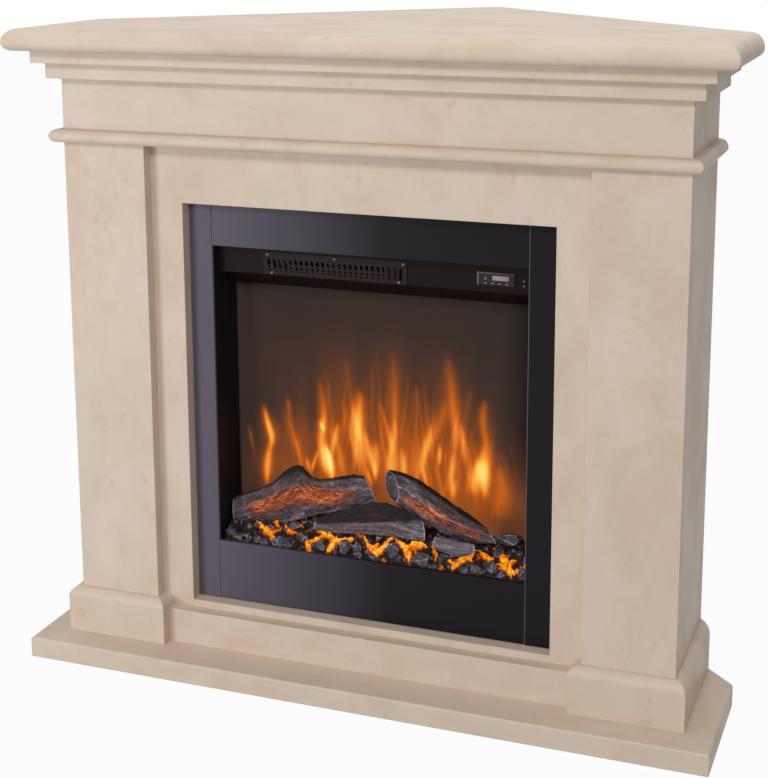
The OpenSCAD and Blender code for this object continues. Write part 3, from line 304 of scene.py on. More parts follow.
def brushed_trim():
    """Satin black steel finished along its height, with a painted reflection that is pale at the fire's left
    and fades to black by its middle, and a painted highlight on its sideways faces.
    """
    t = Tree("trim_black")
    v = t.place()
    lines = t.noise(t.place((900, 900, 12)), 1.0, 3, 0.6)
    cloud = t.noise(v, 9, 4, 0.6)
    # painted reflection: bluish grey at the fire's left, fading to near black towards its middle
    c = t.mix(t.span(t.parts(v)[0], *REFLECTION_FADES), lin(93, 87, 101), lin(10, 5, 10))
    c = t.mix(t.times(t.span(lines, 0.3, 0.7), 0.12), c, lin(30, 26, 33))
    normal = t.node("NewGeometry").outputs["Normal"]
    # painted highlight: faces turned to the side, the trims' folded edges, are made paler
    sideways_highlight = t.math("ABSOLUTE", t.parts(normal)[0])
    c = t.mix(t.span(sideways_highlight, 0.15, 0.4, 0, 0.8), c, lin(112, 108, 116))
    upright = t.node("CombineXYZ", {"Z": 1.0}).outputs[0]
    return t.finish(
        c, t.span(cloud, 0.3, 0.7, 0.41, 0.45), Anisotropic=0.85, Tangent=upright,
        Normal=t.bump(lines, 0.06, 0.0002, t.bevel(0.0006)), Specular_IOR_Level=0.16,
    )


def bezel():
    """Dark panel with a thin painted highlight just inside its left and top edges, the top one fading
    towards the right.
    """
    t = Tree("bezel_grey")
    v = t.place()
    low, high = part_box("control_bezel")
    x, _, z = t.parts(v)
    left = t.span(t.math("SUBTRACT", x, low.x), 0.0024, 0.0016)
    top = t.span(t.math("SUBTRACT", high.z, z), 0.0026, 0.0018)
    top = t.times(top, t.span(x, high.x, low.x, 0.2, 0.7))
    base = t.mix(t.noise(v, 300, 3), lin(22, 14, 14), lin(30, 21, 20))
    # painted highlight along the bezel's left and top edges
    base = t.mix(t.math("MAXIMUM", left, top), base, lin(104, 96, 99))
    return t.finish(base, 0.45, Specular_IOR_Level=0.2)


def display():
    """Small lit window: pale grey with a red end."""
    t = Tree("display_red")
    v = t.place()
    low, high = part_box("display_window")
    red = t.span(t.parts(v)[0], low.x + 0.6 * (high.x - low.x), high.x - 0.002)
    c = t.mix(red, lin(120, 108, 116), lin(112, 62, 68))
    c = t.mix(t.times(t.noise(v, 900, 2, 0.5), 0.4), c, lin(160, 146, 150))
    return t.finish(c, 0.25, Emission_Color=lin(90, 76, 82), Emission_Strength=0.6)


def board():
    """Green circuit board with a grid of gilt tracks."""
    t = Tree("circuit_board")
    v = t.place()
    brick = t.node("TexBrick", {"Vector": v, "Scale": 90.0, "Mortar Size": 0.03}).outputs["Fac"]
    c = t.mix(t.noise(v, 40, 3), lin(22, 74, 42), lin(34, 96, 52))
    c = t.mix(t.times(brick, 0.6), c, lin(150, 130, 70))
    return t.finish(c, 0.4, Normal=t.bump(brick, 0.2, 0.0003))


def mica():
    """Brown flaky mica, as heating elements are wound on, darkened with painted shade for where it lies
    behind the grille's slots.
    """
    t = Tree("mica")
    flakes = t.noise(t.place((1, 1, 5)), 60, 5, 0.7)
    c = t.ramp(flakes, [(0.3, lin(44, 37, 30)), (0.7, lin(66, 57, 46))])
    return t.finish(c, 0.4)


def lamp_glow(name, tone, colour, strength):
    """Clear resin of a lamp, with a glow of its own."""
    t = Tree(name)
    c = t.mix(t.noise(t.place(), 500, 2), tone, tinted(tone, 1.2))
    return t.finish(c, 0.25, Emission_Color=colour, Emission_Strength=strength)


def smoked():
    """Smoke-coloured screen with a fine matt surface."""
    t = Tree("smoked_screen")
    v = t.place()
    c = t.mix(t.noise(v, 6, 3), lin(58, 49, 45), lin(64, 54, 49))
    grain = t.bump(t.noise(v, 700, 2), 0.1, 0.0002)
    return t.finish(c, 0.5, Specular_IOR_Level=0.2, Normal=grain)


def dress_fire():
    zinc = metal("zinc_steel", lin(196, 198, 200), 0.35)
    put(zinc, "angle_brackets", "bracket_screws", "flange_screws", "cover_screws", "rotor_bracket")
    put(metal("bright_steel", lin(205, 205, 205), 0.25), "flame_stencil", "flame_rotor")
    # painted shade: the galvanized blower housing is made dark grey for where it lies in shade behind the
    # slots
    put(metal("blower_steel_shaded", lin(74, 74, 78), 0.5), "blower_housing")
    put(metal("blower_aluminium", lin(110, 112, 116), 0.5), "blower_wheel")
    put(metal("motor_steel", lin(150, 150, 155), 0.45), "rotor_motor", "blower_motor")
    put(metal("dark_screws", lin(112, 106, 110), 0.45), "grille_screws")
    put(enamel("casing_black", lin(21, 18, 22), 0.16), "casing", "rear_cover")
    put(enamel("hood_black", lin(21, 8, 7), 0.08), "hood")
    put(enamel("grille_grey", lin(29, 20, 19), 0.10, 0.45), "outlet_grille")
    put(enamel("black_plastic", lin(26, 24, 24), 0.3), "cord_gland", "blower_bush")
    keys = ["button_" + key for key in ("power", "flame", "heat", "timer", "dimmer")]
    put(enamel("key_grey", lin(104, 92, 92), 0.25), *keys)
    put(brushed_trim(), "trim_left", "trim_right", "trim_top", "trim_bottom")
    put(bezel(), "control_bezel")
    put(display(), "display_window")
    put(board(), "display_board", "control_board")
    put(mica(), "heating_element")
    put(lamp_glow("lamp_clear", lin(120, 114, 118), lin(120, 110, 112), 0.1), "indicator_lamps")
    put(lamp_glow("led_board", lin(225, 225, 220), lin(255, 170, 90), 1.5), "led_strips")
    put(smoked(), "flame_screen")


dress_fire()

# -------- mesh helpers


def add_mesh(name, verts, faces, material):
    """A new object of these points and faces."""
    mesh = bpy.data.meshes.new(name)
    mesh.from_pydata([tuple(v) for v in verts], [], faces)
    mesh.update()
    mesh.materials.append(material)
    return add_object(name, mesh)


def add_piece(name, verts, faces, material, smooth=True):
    """A piece that rides on the fireplace, with the material it is given."""
    piece = add_mesh(name, verts, faces, material)
    if smooth:
        piece.data.polygons.foreach_set("use_smooth", [True] * len(faces))
    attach(piece, "fireplace")
    return piece


def put_values(piece, name, values):
    """Store one number for each point of the mesh, for its material to read."""
    attribute = piece.data.attributes.new(name, "FLOAT", "POINT")
    attribute.data.foreach_set("value", np.asarray(values, np.float32))


def grid_faces(nu, nv, wrap=False):
    """Quads of a grid with nu rows of nv points."""
    last = nv if wrap else nv - 1
    return [
        (i * nv + j, (i + 1) * nv + j, (i + 1) * nv + (j + 1) % nv, i * nv + (j + 1) % nv)
        for i in range(nu - 1)
        for j in range(last)
    ]


# -------- flames on the screen

# Each flame is a path of (x, z, half width, heat), from the tip down, in millimetres
FLAMES = [
    [(-209, 400, 2, 0), (-207, 388, 3.5, 1.1), (-200, 362, 5.5, 1.8), (-194, 344, 5, 1.5),
     (-199, 330, 4, 0.9), (-203, 314, 6, 1.2), (-205, 296, 6, 1.35), (-206, 276, 4, 1),
     (-206, 262, 2, 0)],
    [(-236, 362, 1.5, 0), (-234, 350, 2, 0.45), (-229, 326, 2, 0.2), (-226, 300, 2, 0)],
    [(-168, 420, 2, 0), (-166, 404, 3, 0.55), (-165, 384, 4, 0.45), (-160, 360, 5, 0.4),
     (-152, 338, 4, 0.65), (-147, 315, 3, 0.5), (-145, 300, 2, 0.1)],
    [(-112, 455, 3, 0), (-110, 436, 5, 0.35), (-107, 410, 5, 0.55), (-106, 392, 5, 0.75),
     (-108, 378, 5, 1.1), (-110, 360, 6, 0.9), (-110, 346, 7, 0.8), (-104, 332, 8, 1.1),
     (-102, 316, 9, 1.2), (-98, 300, 7, 0.8), (-95, 285, 4, 0.2)],
    [(-113, 381, 2, 0), (-111, 377, 3, 1.4), (-107, 372, 2.5, 1.3), (-104, 367, 1.5, 0)],
    [(-104, 345, 2, 0), (-101, 335, 3, 1.2), (-96, 322, 4, 1.6), (-95, 310, 4, 1.5), (-93, 298, 3, 1.1),
     (-92, 286, 2, 0.3)],
    [(-82, 384, 2, 0), (-83, 376, 4, 0.7), (-87, 356, 4, 0.75), (-92, 338, 4, 0.5), (-94, 325, 3, 0.1)],
    [(-137, 320, 1.5, 0), (-134, 312, 2.2, 1), (-132, 303, 2, 0.8), (-131, 296, 1, 0)],
    [(-115, 336, 1.2, 0), (-118, 327, 2, 0.8), (-124, 312, 2.2, 0.9), (-126, 304, 2, 1.1),
     (-127, 297, 1, 0)],
    [(-47, 442, 3, 0), (-44, 430, 5, 0.7), (-46, 408, 7, 1.05), (-46, 388, 7.5, 1.25),
     (-45, 368, 6, 1.15), (-42, 350, 6, 0.8), (-40, 330, 6, 0.6), (-38, 305, 5, 0.4), (-37, 288, 4, 0)],
    [(-58, 425, 2, 0), (-56, 405, 3, 0.45), (-54, 380, 4, 0.7), (-51, 356, 4.5, 0.6), (-48, 330, 4, 0.5),
     (-46, 300, 4, 0.2)],
    [(-37, 378, 3, 0), (-34, 362, 4, 0.75), (-29, 340, 4.5, 1), (-25, 326, 5, 1), (-20, 310, 4, 1.1),
     (-18, 296, 3, 0.4)],
    [(-33, 312, 1.5, 0), (-31, 305, 2.2, 1.1), (-28, 293, 2.4, 1.1), (-25, 284, 1.5, 0.2)],
    [(-18, 362, 3, 0), (-19, 348, 5, 1), (-19, 332, 5, 1.05), (-19, 316, 4, 0.95), (-20, 302, 3, 0.4)],
    [(-12, 425, 1.2, 0), (-9, 414, 1.8, 0.55), (-3, 396, 2, 0.6), (2, 380, 3, 0.75), (5, 366, 4.5, 0.9),
     (9, 350, 4, 0.8), (7, 336, 5, 0.8), (7, 320, 5, 1.3), (8, 310, 4, 1.2), (8, 300, 3, 0.3)],
    [(14, 402, 1.5, 0), (15, 388, 2, 0.6), (15, 376, 2.5, 0.7), (13, 362, 3, 0.5), (12, 345, 4, 0.4),
     (12, 320, 4, 0.3)],
    [(24, 355, 2, 0), (26, 342, 4, 0.9), (27, 328, 5, 1.15), (28, 316, 5, 1.2), (29, 306, 3, 0.4)],
    [(49, 460, 1.5, 0), (49, 446, 2.2, 0.4), (50, 420, 3, 0.42), (49, 394, 2.5, 0.42), (48, 370, 4, 0.3),
     (48, 330, 6, 0.35), (48, 300, 6, 0.3)],
    [(76, 420, 2, 0), (75, 400, 3, 0.4), (72, 384, 4, 0.8), (68, 368, 5.5, 1.25), (65, 354, 5, 1.2),
     (60, 340, 4, 0.95), (58, 324, 3.4, 1.1), (61, 312, 3.4, 1.15), (65, 302, 3, 0.9), (68, 292, 2, 0)],
    [(87, 368, 1.4, 0), (87, 360, 2.2, 1), (86, 346, 2.8, 1.1), (86, 338, 2.2, 0.9), (86, 332, 1, 0)],
    [(99, 512, 5, 0), (101, 492, 7, 0.32), (104, 470, 8, 0.5), (106, 450, 9, 0.68), (108, 430, 9, 0.8),
     (111, 408, 8, 0.85), (113, 390, 6, 0.95), (112, 372, 5, 0.85), (110, 358, 5, 0.5),
     (109, 345, 6, 0.8), (107, 330, 6, 0.9), (105, 315, 5, 0.7), (107, 300, 6, 0.85), (108, 290, 5, 0.5),
     (108, 280, 4, 0)],
    [(92, 440, 3, 0), (92, 420, 5, 0.45), (88, 400, 6, 0.45), (82, 385, 5, 0.35), (80, 370, 4, 0.1)],
    [(121, 410, 3, 0), (123, 392, 4, 0.7), (125, 372, 5, 0.95), (127, 355, 5, 0.8), (128, 340, 4, 0.3)],
    [(158, 448, 3, 0), (157, 434, 5, 0.55), (155, 416, 6, 0.75), (156, 400, 6, 0.75), (160, 386, 5, 0.7),
     (160, 370, 6, 0.85), (157, 354, 8, 1.25), (157, 338, 9, 1.8), (158, 322, 8, 1.7),
     (158, 308, 6, 1.1), (159, 298, 4, 0.8), (159, 288, 3, 0)],
    [(150, 352, 4, 0), (148, 338, 7, 0.9), (145, 322, 9, 1), (143, 308, 9, 0.85), (141, 294, 8, 0.3)],
    [(186, 345, 4, 0), (185, 330, 7, 0.45), (187, 312, 12, 0.55), (188, 295, 15, 0.6),
     (187, 278, 15, 0.45), (186, 262, 13, 0.2)],
    [(136, 470, 2, 0), (134, 450, 3, 0.16), (130, 425, 4, 0.2), (126, 400, 4, 0.1)],
]
SCREEN_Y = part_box("flame_screen")[0].y / MM - SHIFT_Y
PROUD = 0.4  # how far the picture stands in front of the screen
PICTURE_X = (-250, 250, 401)  # the ends of the picture's grid, and its number of points
PICTURE_Z = (200, 608, 331)
WISPS = 240
WISP_SEED, HAZE_SEED = 11, 4
SCREEN_TONE = (60, 51, 47)
HOTTEST = 2.6
LIT = 0.28  # from this heat the screen's own tone doesn't show
# How hot the picture is, and the colour that the screen then has
FLAME_COLOURS = [
    (0.00, SCREEN_TONE), (0.12, (84, 56, 43)), (0.28, (116, 64, 35)), (0.42, (140, 72, 28)),
    (0.62, (172, 84, 25)), (0.85, (208, 104, 32)), (1.10, (234, 132, 46)), (1.40, (247, 166, 60)),
    (1.80, (254, 206, 92)), (2.60, (255, 244, 165)),
]


def bell(distance, width):
    """Like hump, for arrays."""
    return np.exp(-((distance / width) ** 2))


def soften(values, sigma):
    """Values one millimetre apart, smoothed over sigma millimetres."""
    k = np.arange(-3 * sigma, 3 * sigma + 1)
    weights = bell(k, math.sqrt(2) * sigma)
    padded = np.pad(values, 3 * sigma, mode="edge")
    return np.convolve(padded, weights / weights.sum(), mode="valid")


def drawn_flames(x, z):
    """Heat of the flames listed above at places x, z: each has a core and a faint glow round it."""
    heat = np.zeros_like(x)
    heights = np.arange(180.0, 640.0)
    for path in FLAMES:
        points = np.array(path[::-1], float)
        lines = [np.interp(heights, points[:, 1], points[:, k]) for k in (0, 2, 3)]
        outside = (heights < points[0, 1]) | (heights > points[-1, 1])
        lines[2][outside] = 0
        smoothed = [soften(line, sigma) for line, sigma in zip(lines, (7, 6, 5))]
        centre, wide, hot = (np.interp(z, heights, line) for line in smoothed)
        d = (x - centre) / (0.95 * wide + 1.0)
        heat += hot * (0.72 * bell(d, 1) + 0.14 * bell(d, 2.6))
    return heat


def wisps(x, z):
    """Heat of many thin tongues at random, shorter and fainter towards the sides."""
    heat = np.zeros_like(x)
    rng = random.Random(WISP_SEED)
    for _ in range(WISPS):
        foot_x = rng.uniform(-200, 205)
        reach = 150 * hump(foot_x - 5, 150) + 30
        foot_z = 240 + rng.uniform(0, 110)
        length = rng.uniform(0.5, 1.1) * reach
        lean = rng.uniform(-0.16, 0.16)
        half_width = rng.uniform(1.1, 5.0)
        s = np.clip((z - foot_z) / length, 0, 1)
        centre = foot_x + lean * (z - foot_z) + 5 * np.sin(s * 4 + foot_x)
        strength = (1 - 0.75 * min(1, abs(foot_x - 5) / 205) ** 2) * rng.uniform(0.03, 0.20)
        heat += strength * np.sin(np.pi * s) ** 0.8 * bell(x - centre, half_width)
    return heat


def haze(x, z):
    """The even glow between the flames, streaked a little from bottom to top."""
    wide = 222 - 0.34 * np.maximum(0, z - 290)
    across = np.exp(-(np.abs((x - 2) / wide) ** 5))
    up = 0.36 / (1 + np.exp((z - 414 + 0.0011 * (x - 10) ** 2) / 31))
    smoke = 0.11 * bell(x + 25, 140) * bell(z - 460, 56)
    right_corner = 0.16 * bell(x - 150, 60) * bell(z - 290, 45)
    left_corner = 0.11 * bell(x + 180, 70) * bell(z - 325, 60)
    streak = np.zeros_like(x)
    rng = random.Random(HAZE_SEED)
    for _ in range(14):
        step, phase, lean = rng.uniform(6, 34), rng.uniform(0, 6.3), rng.uniform(-0.12, 0.12)
        streak += np.sin((x + lean * z + 7 * np.sin(z / 70 + phase)) / step * 2 + phase)
    return (across * (up + right_corner + left_corner) + smoke) * (1 + 0.07 * streak)


def picture_heat(x, z):
    """All of the picture's heat. The flames are a little dimmer round the middle."""
    return (drawn_flames(x, z) + wisps(x, z)) * (1 - 0.25 * bell(x - 15, 62)) + haze(x, z)


def flame_material():
    """The screen's own tone, darker where the picture is lit, with painted shade towards its right edge and
    painted light towards its left edge, and the light of the picture.
    """
    t = Tree("flame_picture")
    v = t.place()
    blaze = t.attribute("blaze")
    side = t.parts(v)[0]
    base = t.mix(t.noise(v, 7, 3), lin(57, 47, 42), lin(63, 52, 47))
    # painted shade: the screen darkens towards its right edge
    base = t.mix(t.span(side, 0.185, 0.225, 0, 0.75), base, lin(24, 19, 18))
    # painted light: the screen is paler towards its left edge
    base = t.mix(t.span(side, -0.19, -0.245, 0, 0.5), base, lin(96, 80, 72))
    base = t.mix(t.span(blaze, 0, LIT / HOTTEST), base, lin(3, 1, 0))
    stops = []
    for heat, colour in FLAME_COLOURS:
        own = max(0, 1 - heat / LIT)
        light = (max(0, a - own * b) for a, b in zip(lin(*colour)[:3], lin(*SCREEN_TONE)))
        stops.append((heat / HOTTEST, (*light, 1)))
    return t.finish(
        base, 0.6, Specular_IOR_Level=0.04, Normal=t.bump(t.noise(v, 900, 2, 0.5), 0.08, 0.0002),
        Emission_Color=t.ramp(blaze, stops), Emission_Strength=1.0,
    )


def make_flames():
    xs, zs = np.linspace(*PICTURE_X), np.linspace(*PICTURE_Z)
    heat = picture_heat(*np.meshgrid(xs, zs, indexing="ij")).ravel()
    verts = [at(x, SCREEN_Y - PROUD, z) for x in xs for z in zs]
    faces = grid_faces(len(xs), len(zs))
    piece = add_piece("flame_picture", verts, faces, flame_material())
    put_values(piece, "blaze", heat / HOTTEST)


make_flames()

# -------- logs

# What each log's numbers are, with lengths in millimetres:
# stations: x, z of the top and z of the underside, from left to right
# y, depth: its middle line, and the most that it reaches to the front or back of that
# lean: how far the top and the foot of its left end, then of its right end, lean to the right
# turn: how far its left and right ends turn to the front
# seed: picks its random bark
# glow: the glowing places, as x, z, size and heat
# worn: how pale its bark is, from 0 to 1
# dim: the height at x = 0 above which it is darkened with painted shade, and how steeply that height rises
# to the right
# line: where a painted highlight runs along its edge, from -1 at the foot to 1 at the top
# knob_shade: x, z and size of a dark patch of painted shade round its knob
# A log that gives no dim, line or knob_shade has them where it isn't.
LOG_DEFAULTS = dict(dim=(999, 0), line=9.0, knob_shade=(0, 0, 1))
LOGS = {
    "log_left": dict(
        stations=[(-249, 250, 200), (-241, 256, 201), (-225, 263, 205), (-200, 273, 213), (-178, 286, 221),
            (-160, 305, 221), (-147, 315, 225), (-135, 319, 229), (-125, 310, 232), (-114, 300, 236),
            (-101, 299, 241), (-68, 307, 250), (-45, 313, 258), (-30, 314, 264), (-10, 306, 273)],
        y=94, depth=20, seed=3.0, lean=((0, 6), (-18, 2)), turn=(0, 11), worn=0.2, knob_shade=(-152, 322, 26),
        glow=[(-206, 240, 17, 0.8), (-186, 250, 20, 1.0), (-160, 262, 22, 0.9), (-134, 274, 24, 1.0),
            (-108, 276, 24, 1.0), (-84, 274, 22, 0.9), (-58, 282, 17, 0.8), (-38, 288, 10, 0.5)],
    ),
    "log_right": dict(
        stations=[(16, 326, 278), (34, 325, 268), (55, 319, 254), (81, 305, 245), (103, 292, 236),
            (127, 278, 230), (147, 267, 230), (165, 257, 230), (178, 249, 232)],
        y=93, depth=18, seed=17.0, lean=((0, 4), (-6, 6)), turn=(16, 8), line=0.25, worn=0.2,
        glow=[(46, 288, 12, 0.7), (66, 281, 15, 1.0), (88, 272, 17, 1.1), (110, 262, 15, 0.9),
            (134, 254, 13, 0.9), (158, 246, 12, 0.9)],
    ),
    "log_middle": dict(
        stations=[(-104, 238, 222), (-85, 248, 222), (-60, 258, 222), (-30, 269, 224), (-4, 277, 226),
            (14, 279, 227), (36, 275, 227), (60, 265, 227), (76, 258, 228)],
        y=78, depth=13, seed=29.0, lean=((4, 0), (-3, 0)), turn=(0, 7), dim=(247, 0.15), worn=0.36,
        glow=[(-62, 233, 12, 0.35), (-30, 236, 16, 0.35), (-4, 262, 12, 0.25), (22, 240, 14, 0.2)],
    ),
    "log_stub": dict(
        stations=[(95, 237, 226), (102, 242, 220), (120, 241, 216), (138, 239, 213), (152, 239, 219),
            (158, 237, 224)],
        y=68, depth=12, seed=41.0, lean=((3, 0), (0, -3)), turn=(0, 6), worn=0.5, glow=[],
    ),
}
LOG_RINGS = 190
LOG_SIDES = 110
LOG_ANGLES = [2 * math.pi * j / LOG_SIDES for j in range(LOG_SIDES)]
SPLIT_FACES = 8
# The rings of a cut end, from its rim inwards: share of the radius, how deep in millimetres, pale, dark
CUT_RINGS = [
    (0.95, 0.2, 0.75, 0), (0.90, 0.5, 0.2, 0.1), (0.82, 1.2, 0, 0.3), (0.77, 2.6, 0, 1.0),
    (0.72, 1.4, 0.1, 0.6), (0.66, 0.5, 0.35, 0), (0.50, 0.3, 0.1, 0.1), (0.34, 0.6, 0.05, 0.3),
    (0.18, 0.3, 0.1, 0.1),
]


def bark_relief(t, grain, ridge):
    """Height of the bark, and its finest fibres, both along the grain."""
    streak = t.noise(t.stretch(grain, (0.16, 0.9, 1)), 1.0, 5, 0.65, 0.3)
    fibre = t.noise(t.stretch(grain, (0.5, 2.6, 1)), 1.0, 4, 0.7, 0.2)
    height = t.math("ADD", t.times(streak, 0.50), t.times(fibre, 0.50))
    raised = t.times(t.math("SUBTRACT", ridge, 0.5), 0.45)
    return t.math("ADD", height, raised), fibre


def bark_colour(t, height, fibre, glow):
    """Grey-brown, browner and darker in patches, black where shade is painted, pale where it is worn and
    along a painted highlight.
    """
    v = t.place()
    pale, shade = t.attribute("pale"), t.attribute("shade")
    c = t.ramp(height, [
        (0.32, lin(30, 22, 22)), (0.43, lin(60, 50, 51)), (0.54, lin(94, 82, 86)),
        (0.65, lin(130, 118, 123)), (0.78, lin(178, 168, 174)),
    ])
    c = t.mix(t.span(t.noise(v, 42, 4, 0.6), 0.45, 0.66, 0, 0.6), c, lin(72, 50, 40))
    c = t.mix(t.span(t.noise(v, 330, 4, 0.7), 0.52, 0.66, 0, 0.5), c, lin(34, 26, 25))
    c = t.mix(shade, c, lin(22, 20, 22))
    c = t.mix(t.times(glow, 0.85), c, lin(44, 22, 14))
    bare = t.math("MAXIMUM", t.span(fibre, 0.42, 0.62, 0.1, 1.0), t.math("POWER", pale, 4.0))
    flecks = t.times(t.times(pale, bare), t.span(shade, 0.3, 0.9, 1, 0.15))
    return t.mix(flecks, c, lin(182, 172, 182))


def bark_fire(t, grain, height, glow):
    """Light of the glowing places: orange along the fibres, with some dark red."""
    strands = t.noise(t.stretch(grain, (0.11, 0.55, 1)), 1.0, 5, 0.7, 0.6)
    crack = t.times(t.span(height, 0.36, 0.58), 0.35)
    spots = t.times(t.span(strands, 0.40, 0.62), 0.75)
    hot = t.times(glow, t.math("ADD", crack, spots))
    e = t.ramp(hot, [
        (0.0, BLACK), (0.2, lin(58, 22, 8)), (0.45, lin(128, 56, 20)),
        (0.75, lin(196, 94, 34)), (1.0, lin(236, 140, 66)),
    ])
    red = t.span(t.noise(t.place(), 60, 3, 0.5, 0.4), 0.54, 0.68, 0, 0.4)
    return t.mix(t.times(red, hot), e, lin(150, 28, 14))


def bark_material():
    """Painted resin bark with fine grain along the log, pale worn edges, a painted highlight along one edge,
    painted shade and lit places.
    """
    t = Tree("bark")
    grain = t.attribute("grain", "Vector")
    glow = t.attribute("glow")
    height, fibre = bark_relief(t, grain, t.attribute("ridge"))
    return t.finish(
        bark_colour(t, height, fibre, glow), 0.72, Specular_IOR_Level=0.1,
        Normal=t.bump(height, 0.7, 0.0014),
        Emission_Color=bark_fire(t, grain, height, glow), Emission_Strength=0.9,
    )


def facets(x, seed):
    """Radius and edge sharpness of a split log's cross-section at each angle, from its flat faces."""
    planes = []
    for k in range(SPLIT_FACES):
        drift = noise.noise(Vector((x / 70, 3.1 * k, seed)))
        deep = noise.noise(Vector((x / 45, 7.7 * k + 4, seed)))
        facing = 2 * math.pi * (k + 0.35 * math.sin(k * 2.4 + seed)) / SPLIT_FACES + 0.22 * drift
        planes.append((facing, 0.86 + 0.10 * deep))
    out = []
    for a in LOG_ANGLES:
        cuts = sorted(d / math.cos(a - b) for b, d in planes if math.cos(a - b) > 0.2)
        out.append((cuts[0], hump(cuts[1] - cuts[0], 0.035)))
    return out


def relief(x, a, seed):
    """The long ridges, the fine grain and the cracks of the bark at x and angle a."""
    ca, sa = math.cos(a), math.sin(a)
    long_ridge = noise.fractal(Vector((x / 30 + seed, 3.6 * ca, 3.6 * sa)), 0.8, 2.2, 5)
    cracks = abs(noise.noise(Vector((x / 26 + 2 * ca, 5.5 * ca + seed, 5.5 * sa))))
    fine = noise.fractal(Vector((x / 7, 8 * ca + seed, 8 * sa)), 0.8, 2.2, 3)
    return long_ridge, fine, max(0, 0.09 - cracks) / 0.09


def bark_values(form, share, x, z, up, front, crease, marks):
    """Ridge, glow, pale (wear, pale ends and a painted highlight) and painted shade at one point of a log;
    up is -1 to 1, and front is 1 at its front.
    """
    long_ridge, fine, split = marks
    length = form["stations"][-1][0] - form["stations"][0][0]
    heat = sum(k * hump(x - gx, g) * hump(z - gz, 0.60 * g) for gx, gz, g, k in form["glow"])
    rim = hump(share * length, 1.8) + hump((1 - share) * length, 1.8)
    worn = form["worn"] + 0.3 * crease + 0.5 * max(0, fine - 0.2)
    # painted highlight: a pale line along the log's edge at the height that line gives
    edge_highlight = hump(up - form["line"] + 0.10 * long_ridge, 0.045) * (1.1 + 1.4 * fine)
    pale = 0.95 * rim + edge_highlight + worn * (1 - min(0.8, heat))
    # painted shade: the top of the log, the patch round its knob and the part above the dim height
    crown_shade = max(0, (up - 0.80) / 0.12) * (0.9 + 0.4 * long_ridge)
    knob_x, knob_z, knob_size = form["knob_shade"]
    knob_shade = 1.3 * hump(math.hypot(x - knob_x, z - knob_z), knob_size)
    dim_z, rise = form["dim"]
    dim = min(1, max(0, (z - dim_z - rise * x + 3.5 * long_ridge) / 3.0))
    return (
        0.5 + 0.55 * long_ridge + 0.25 * fine - 0.6 * split,
        max(0, front) ** 0.4 * min(1, heat),
        min(1, max(0, pale)),
        min(0.95, crown_shade + knob_shade + dim),
    )


def log_ring(form, share):
    """The points of one ring round a log, with what the material reads at each."""
    stations = np.array(form["stations"], float)
    first, last = stations[0, 0], stations[-1, 0]
    x = first + (last - first) * share
    lean_top, lean_foot = (a * (1 - share) + b * share for a, b in zip(*form["lean"]))
    top = np.interp(x + lean_top, stations[:, 0], stations[:, 1])
    low = np.interp(x + lean_foot, stations[:, 0], stations[:, 2])
    half, middle = (top - low) / 2, (top + low) / 2
    fat = min(form["depth"], half * 1.15)
    skew = form["turn"][0] * hump(share, 0.28) + form["turn"][1] * hump(1 - share, 0.16)
    ring = []
    for a, (radius, crease) in zip(LOG_ANGLES, facets(x, form["seed"])):
        long_ridge, fine, split = relief(x, a, form["seed"])
        radius += 0.05 * long_ridge + 0.03 * fine - 0.06 * split
        ring.append((a, radius, crease, (long_ridge, fine, split)))
    heights = [math.sin(a) * radius for a, radius, _, _ in ring]
    lowest, highest = min(heights), max(heights)
    points, table = [], []
    for height, (a, radius, crease, marks) in zip(heights, ring):
        front = math.cos(a)
        up = (height - lowest) / (highest - lowest) * 2 - 1
        px = x + (lean_top - lean_foot) / 2 * up + (lean_top + lean_foot) / 2 + skew * front + 0.6 * marks[1]
        z = middle + half * up
        points.append(at(px, form["y"] - fat * front * radius, z))
        grain = (x, (half + fat) * 0.8 * a, form["seed"])
        table.append((*bark_values(form, share, px, z, up, front, crease, marks), grain))
    return points, table


def close_end(seed, base, inwards, verts, table, faces):
    """Close the log's end whose ring starts at base with the rings of its cut, then a middle point."""
    mid = sum((verts[base + j] for j in range(LOG_SIDES)), Vector()) / LOG_SIDES
    rows = [base]
    for share, deep, pale, dark in CUT_RINGS:
        rows.append(len(verts))
        for j, a in enumerate(LOG_ANGLES):
            wave = noise.noise(Vector((share * 9, seed, 2 * math.cos(a))))
            v = mid.lerp(verts[base + j], share + 0.03 * wave)
            verts.append(v + Vector((inwards * deep * MM, 0, 0)))
            table.append((0.55 + 0.3 * wave, 0, pale, dark, (share * 40, j * 0.8, seed)))
    verts.append(mid)
    table.append((0.6, 0, 0, 0.2, (0, 0, seed)))
    turn = -inwards
    for j in range(LOG_SIDES):
        k = (j + 1) % LOG_SIDES
        faces += [(a + j, a + k, b + k, b + j)[::turn] for a, b in zip(rows, rows[1:])]
        faces.append((rows[-1] + j, rows[-1] + k, len(verts) - 1)[::turn])


def make_log(name, form, material):
    verts, table = [], []
    for i in range(LOG_RINGS + 1):
        points, rows = log_ring(form, i / LOG_RINGS)
        verts += points
        table += rows
    faces = grid_faces(LOG_RINGS + 1, LOG_SIDES, True)
    close_end(form["seed"], 0, 1, verts, table, faces)
    close_end(form["seed"], LOG_RINGS * LOG_SIDES, -1, verts, table, faces)
    piece = add_piece(name + "_bark", verts, faces, material)
    for k, key in enumerate(("ridge", "glow", "pale", "shade")):
        put_values(piece, key, [row[k] for row in table])
    grain = piece.data.attributes.new("grain", "FLOAT_VECTOR", "POINT")
    grain.data.foreach_set("vector", np.array([row[4] for row in table], np.float32).ravel())
    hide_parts(name)


def make_logs():
    material = bark_material()
    for name, form in LOGS.items():
        make_log(name, {**LOG_DEFAULTS, **form}, material)


make_logs()

# -------- ember bed

# The bed in millimetres: half length, front and back, height in front, rise to the back, underside
BED_X = 251.0
BED_FRONT, BED_BACK = 50.5, 122.0
BED_Z = 188.5
BED_RISE = 39.0
BED_FLOOR = 106.5
BED_GRID = (460, 110)
BED_HOTTEST = 1.3
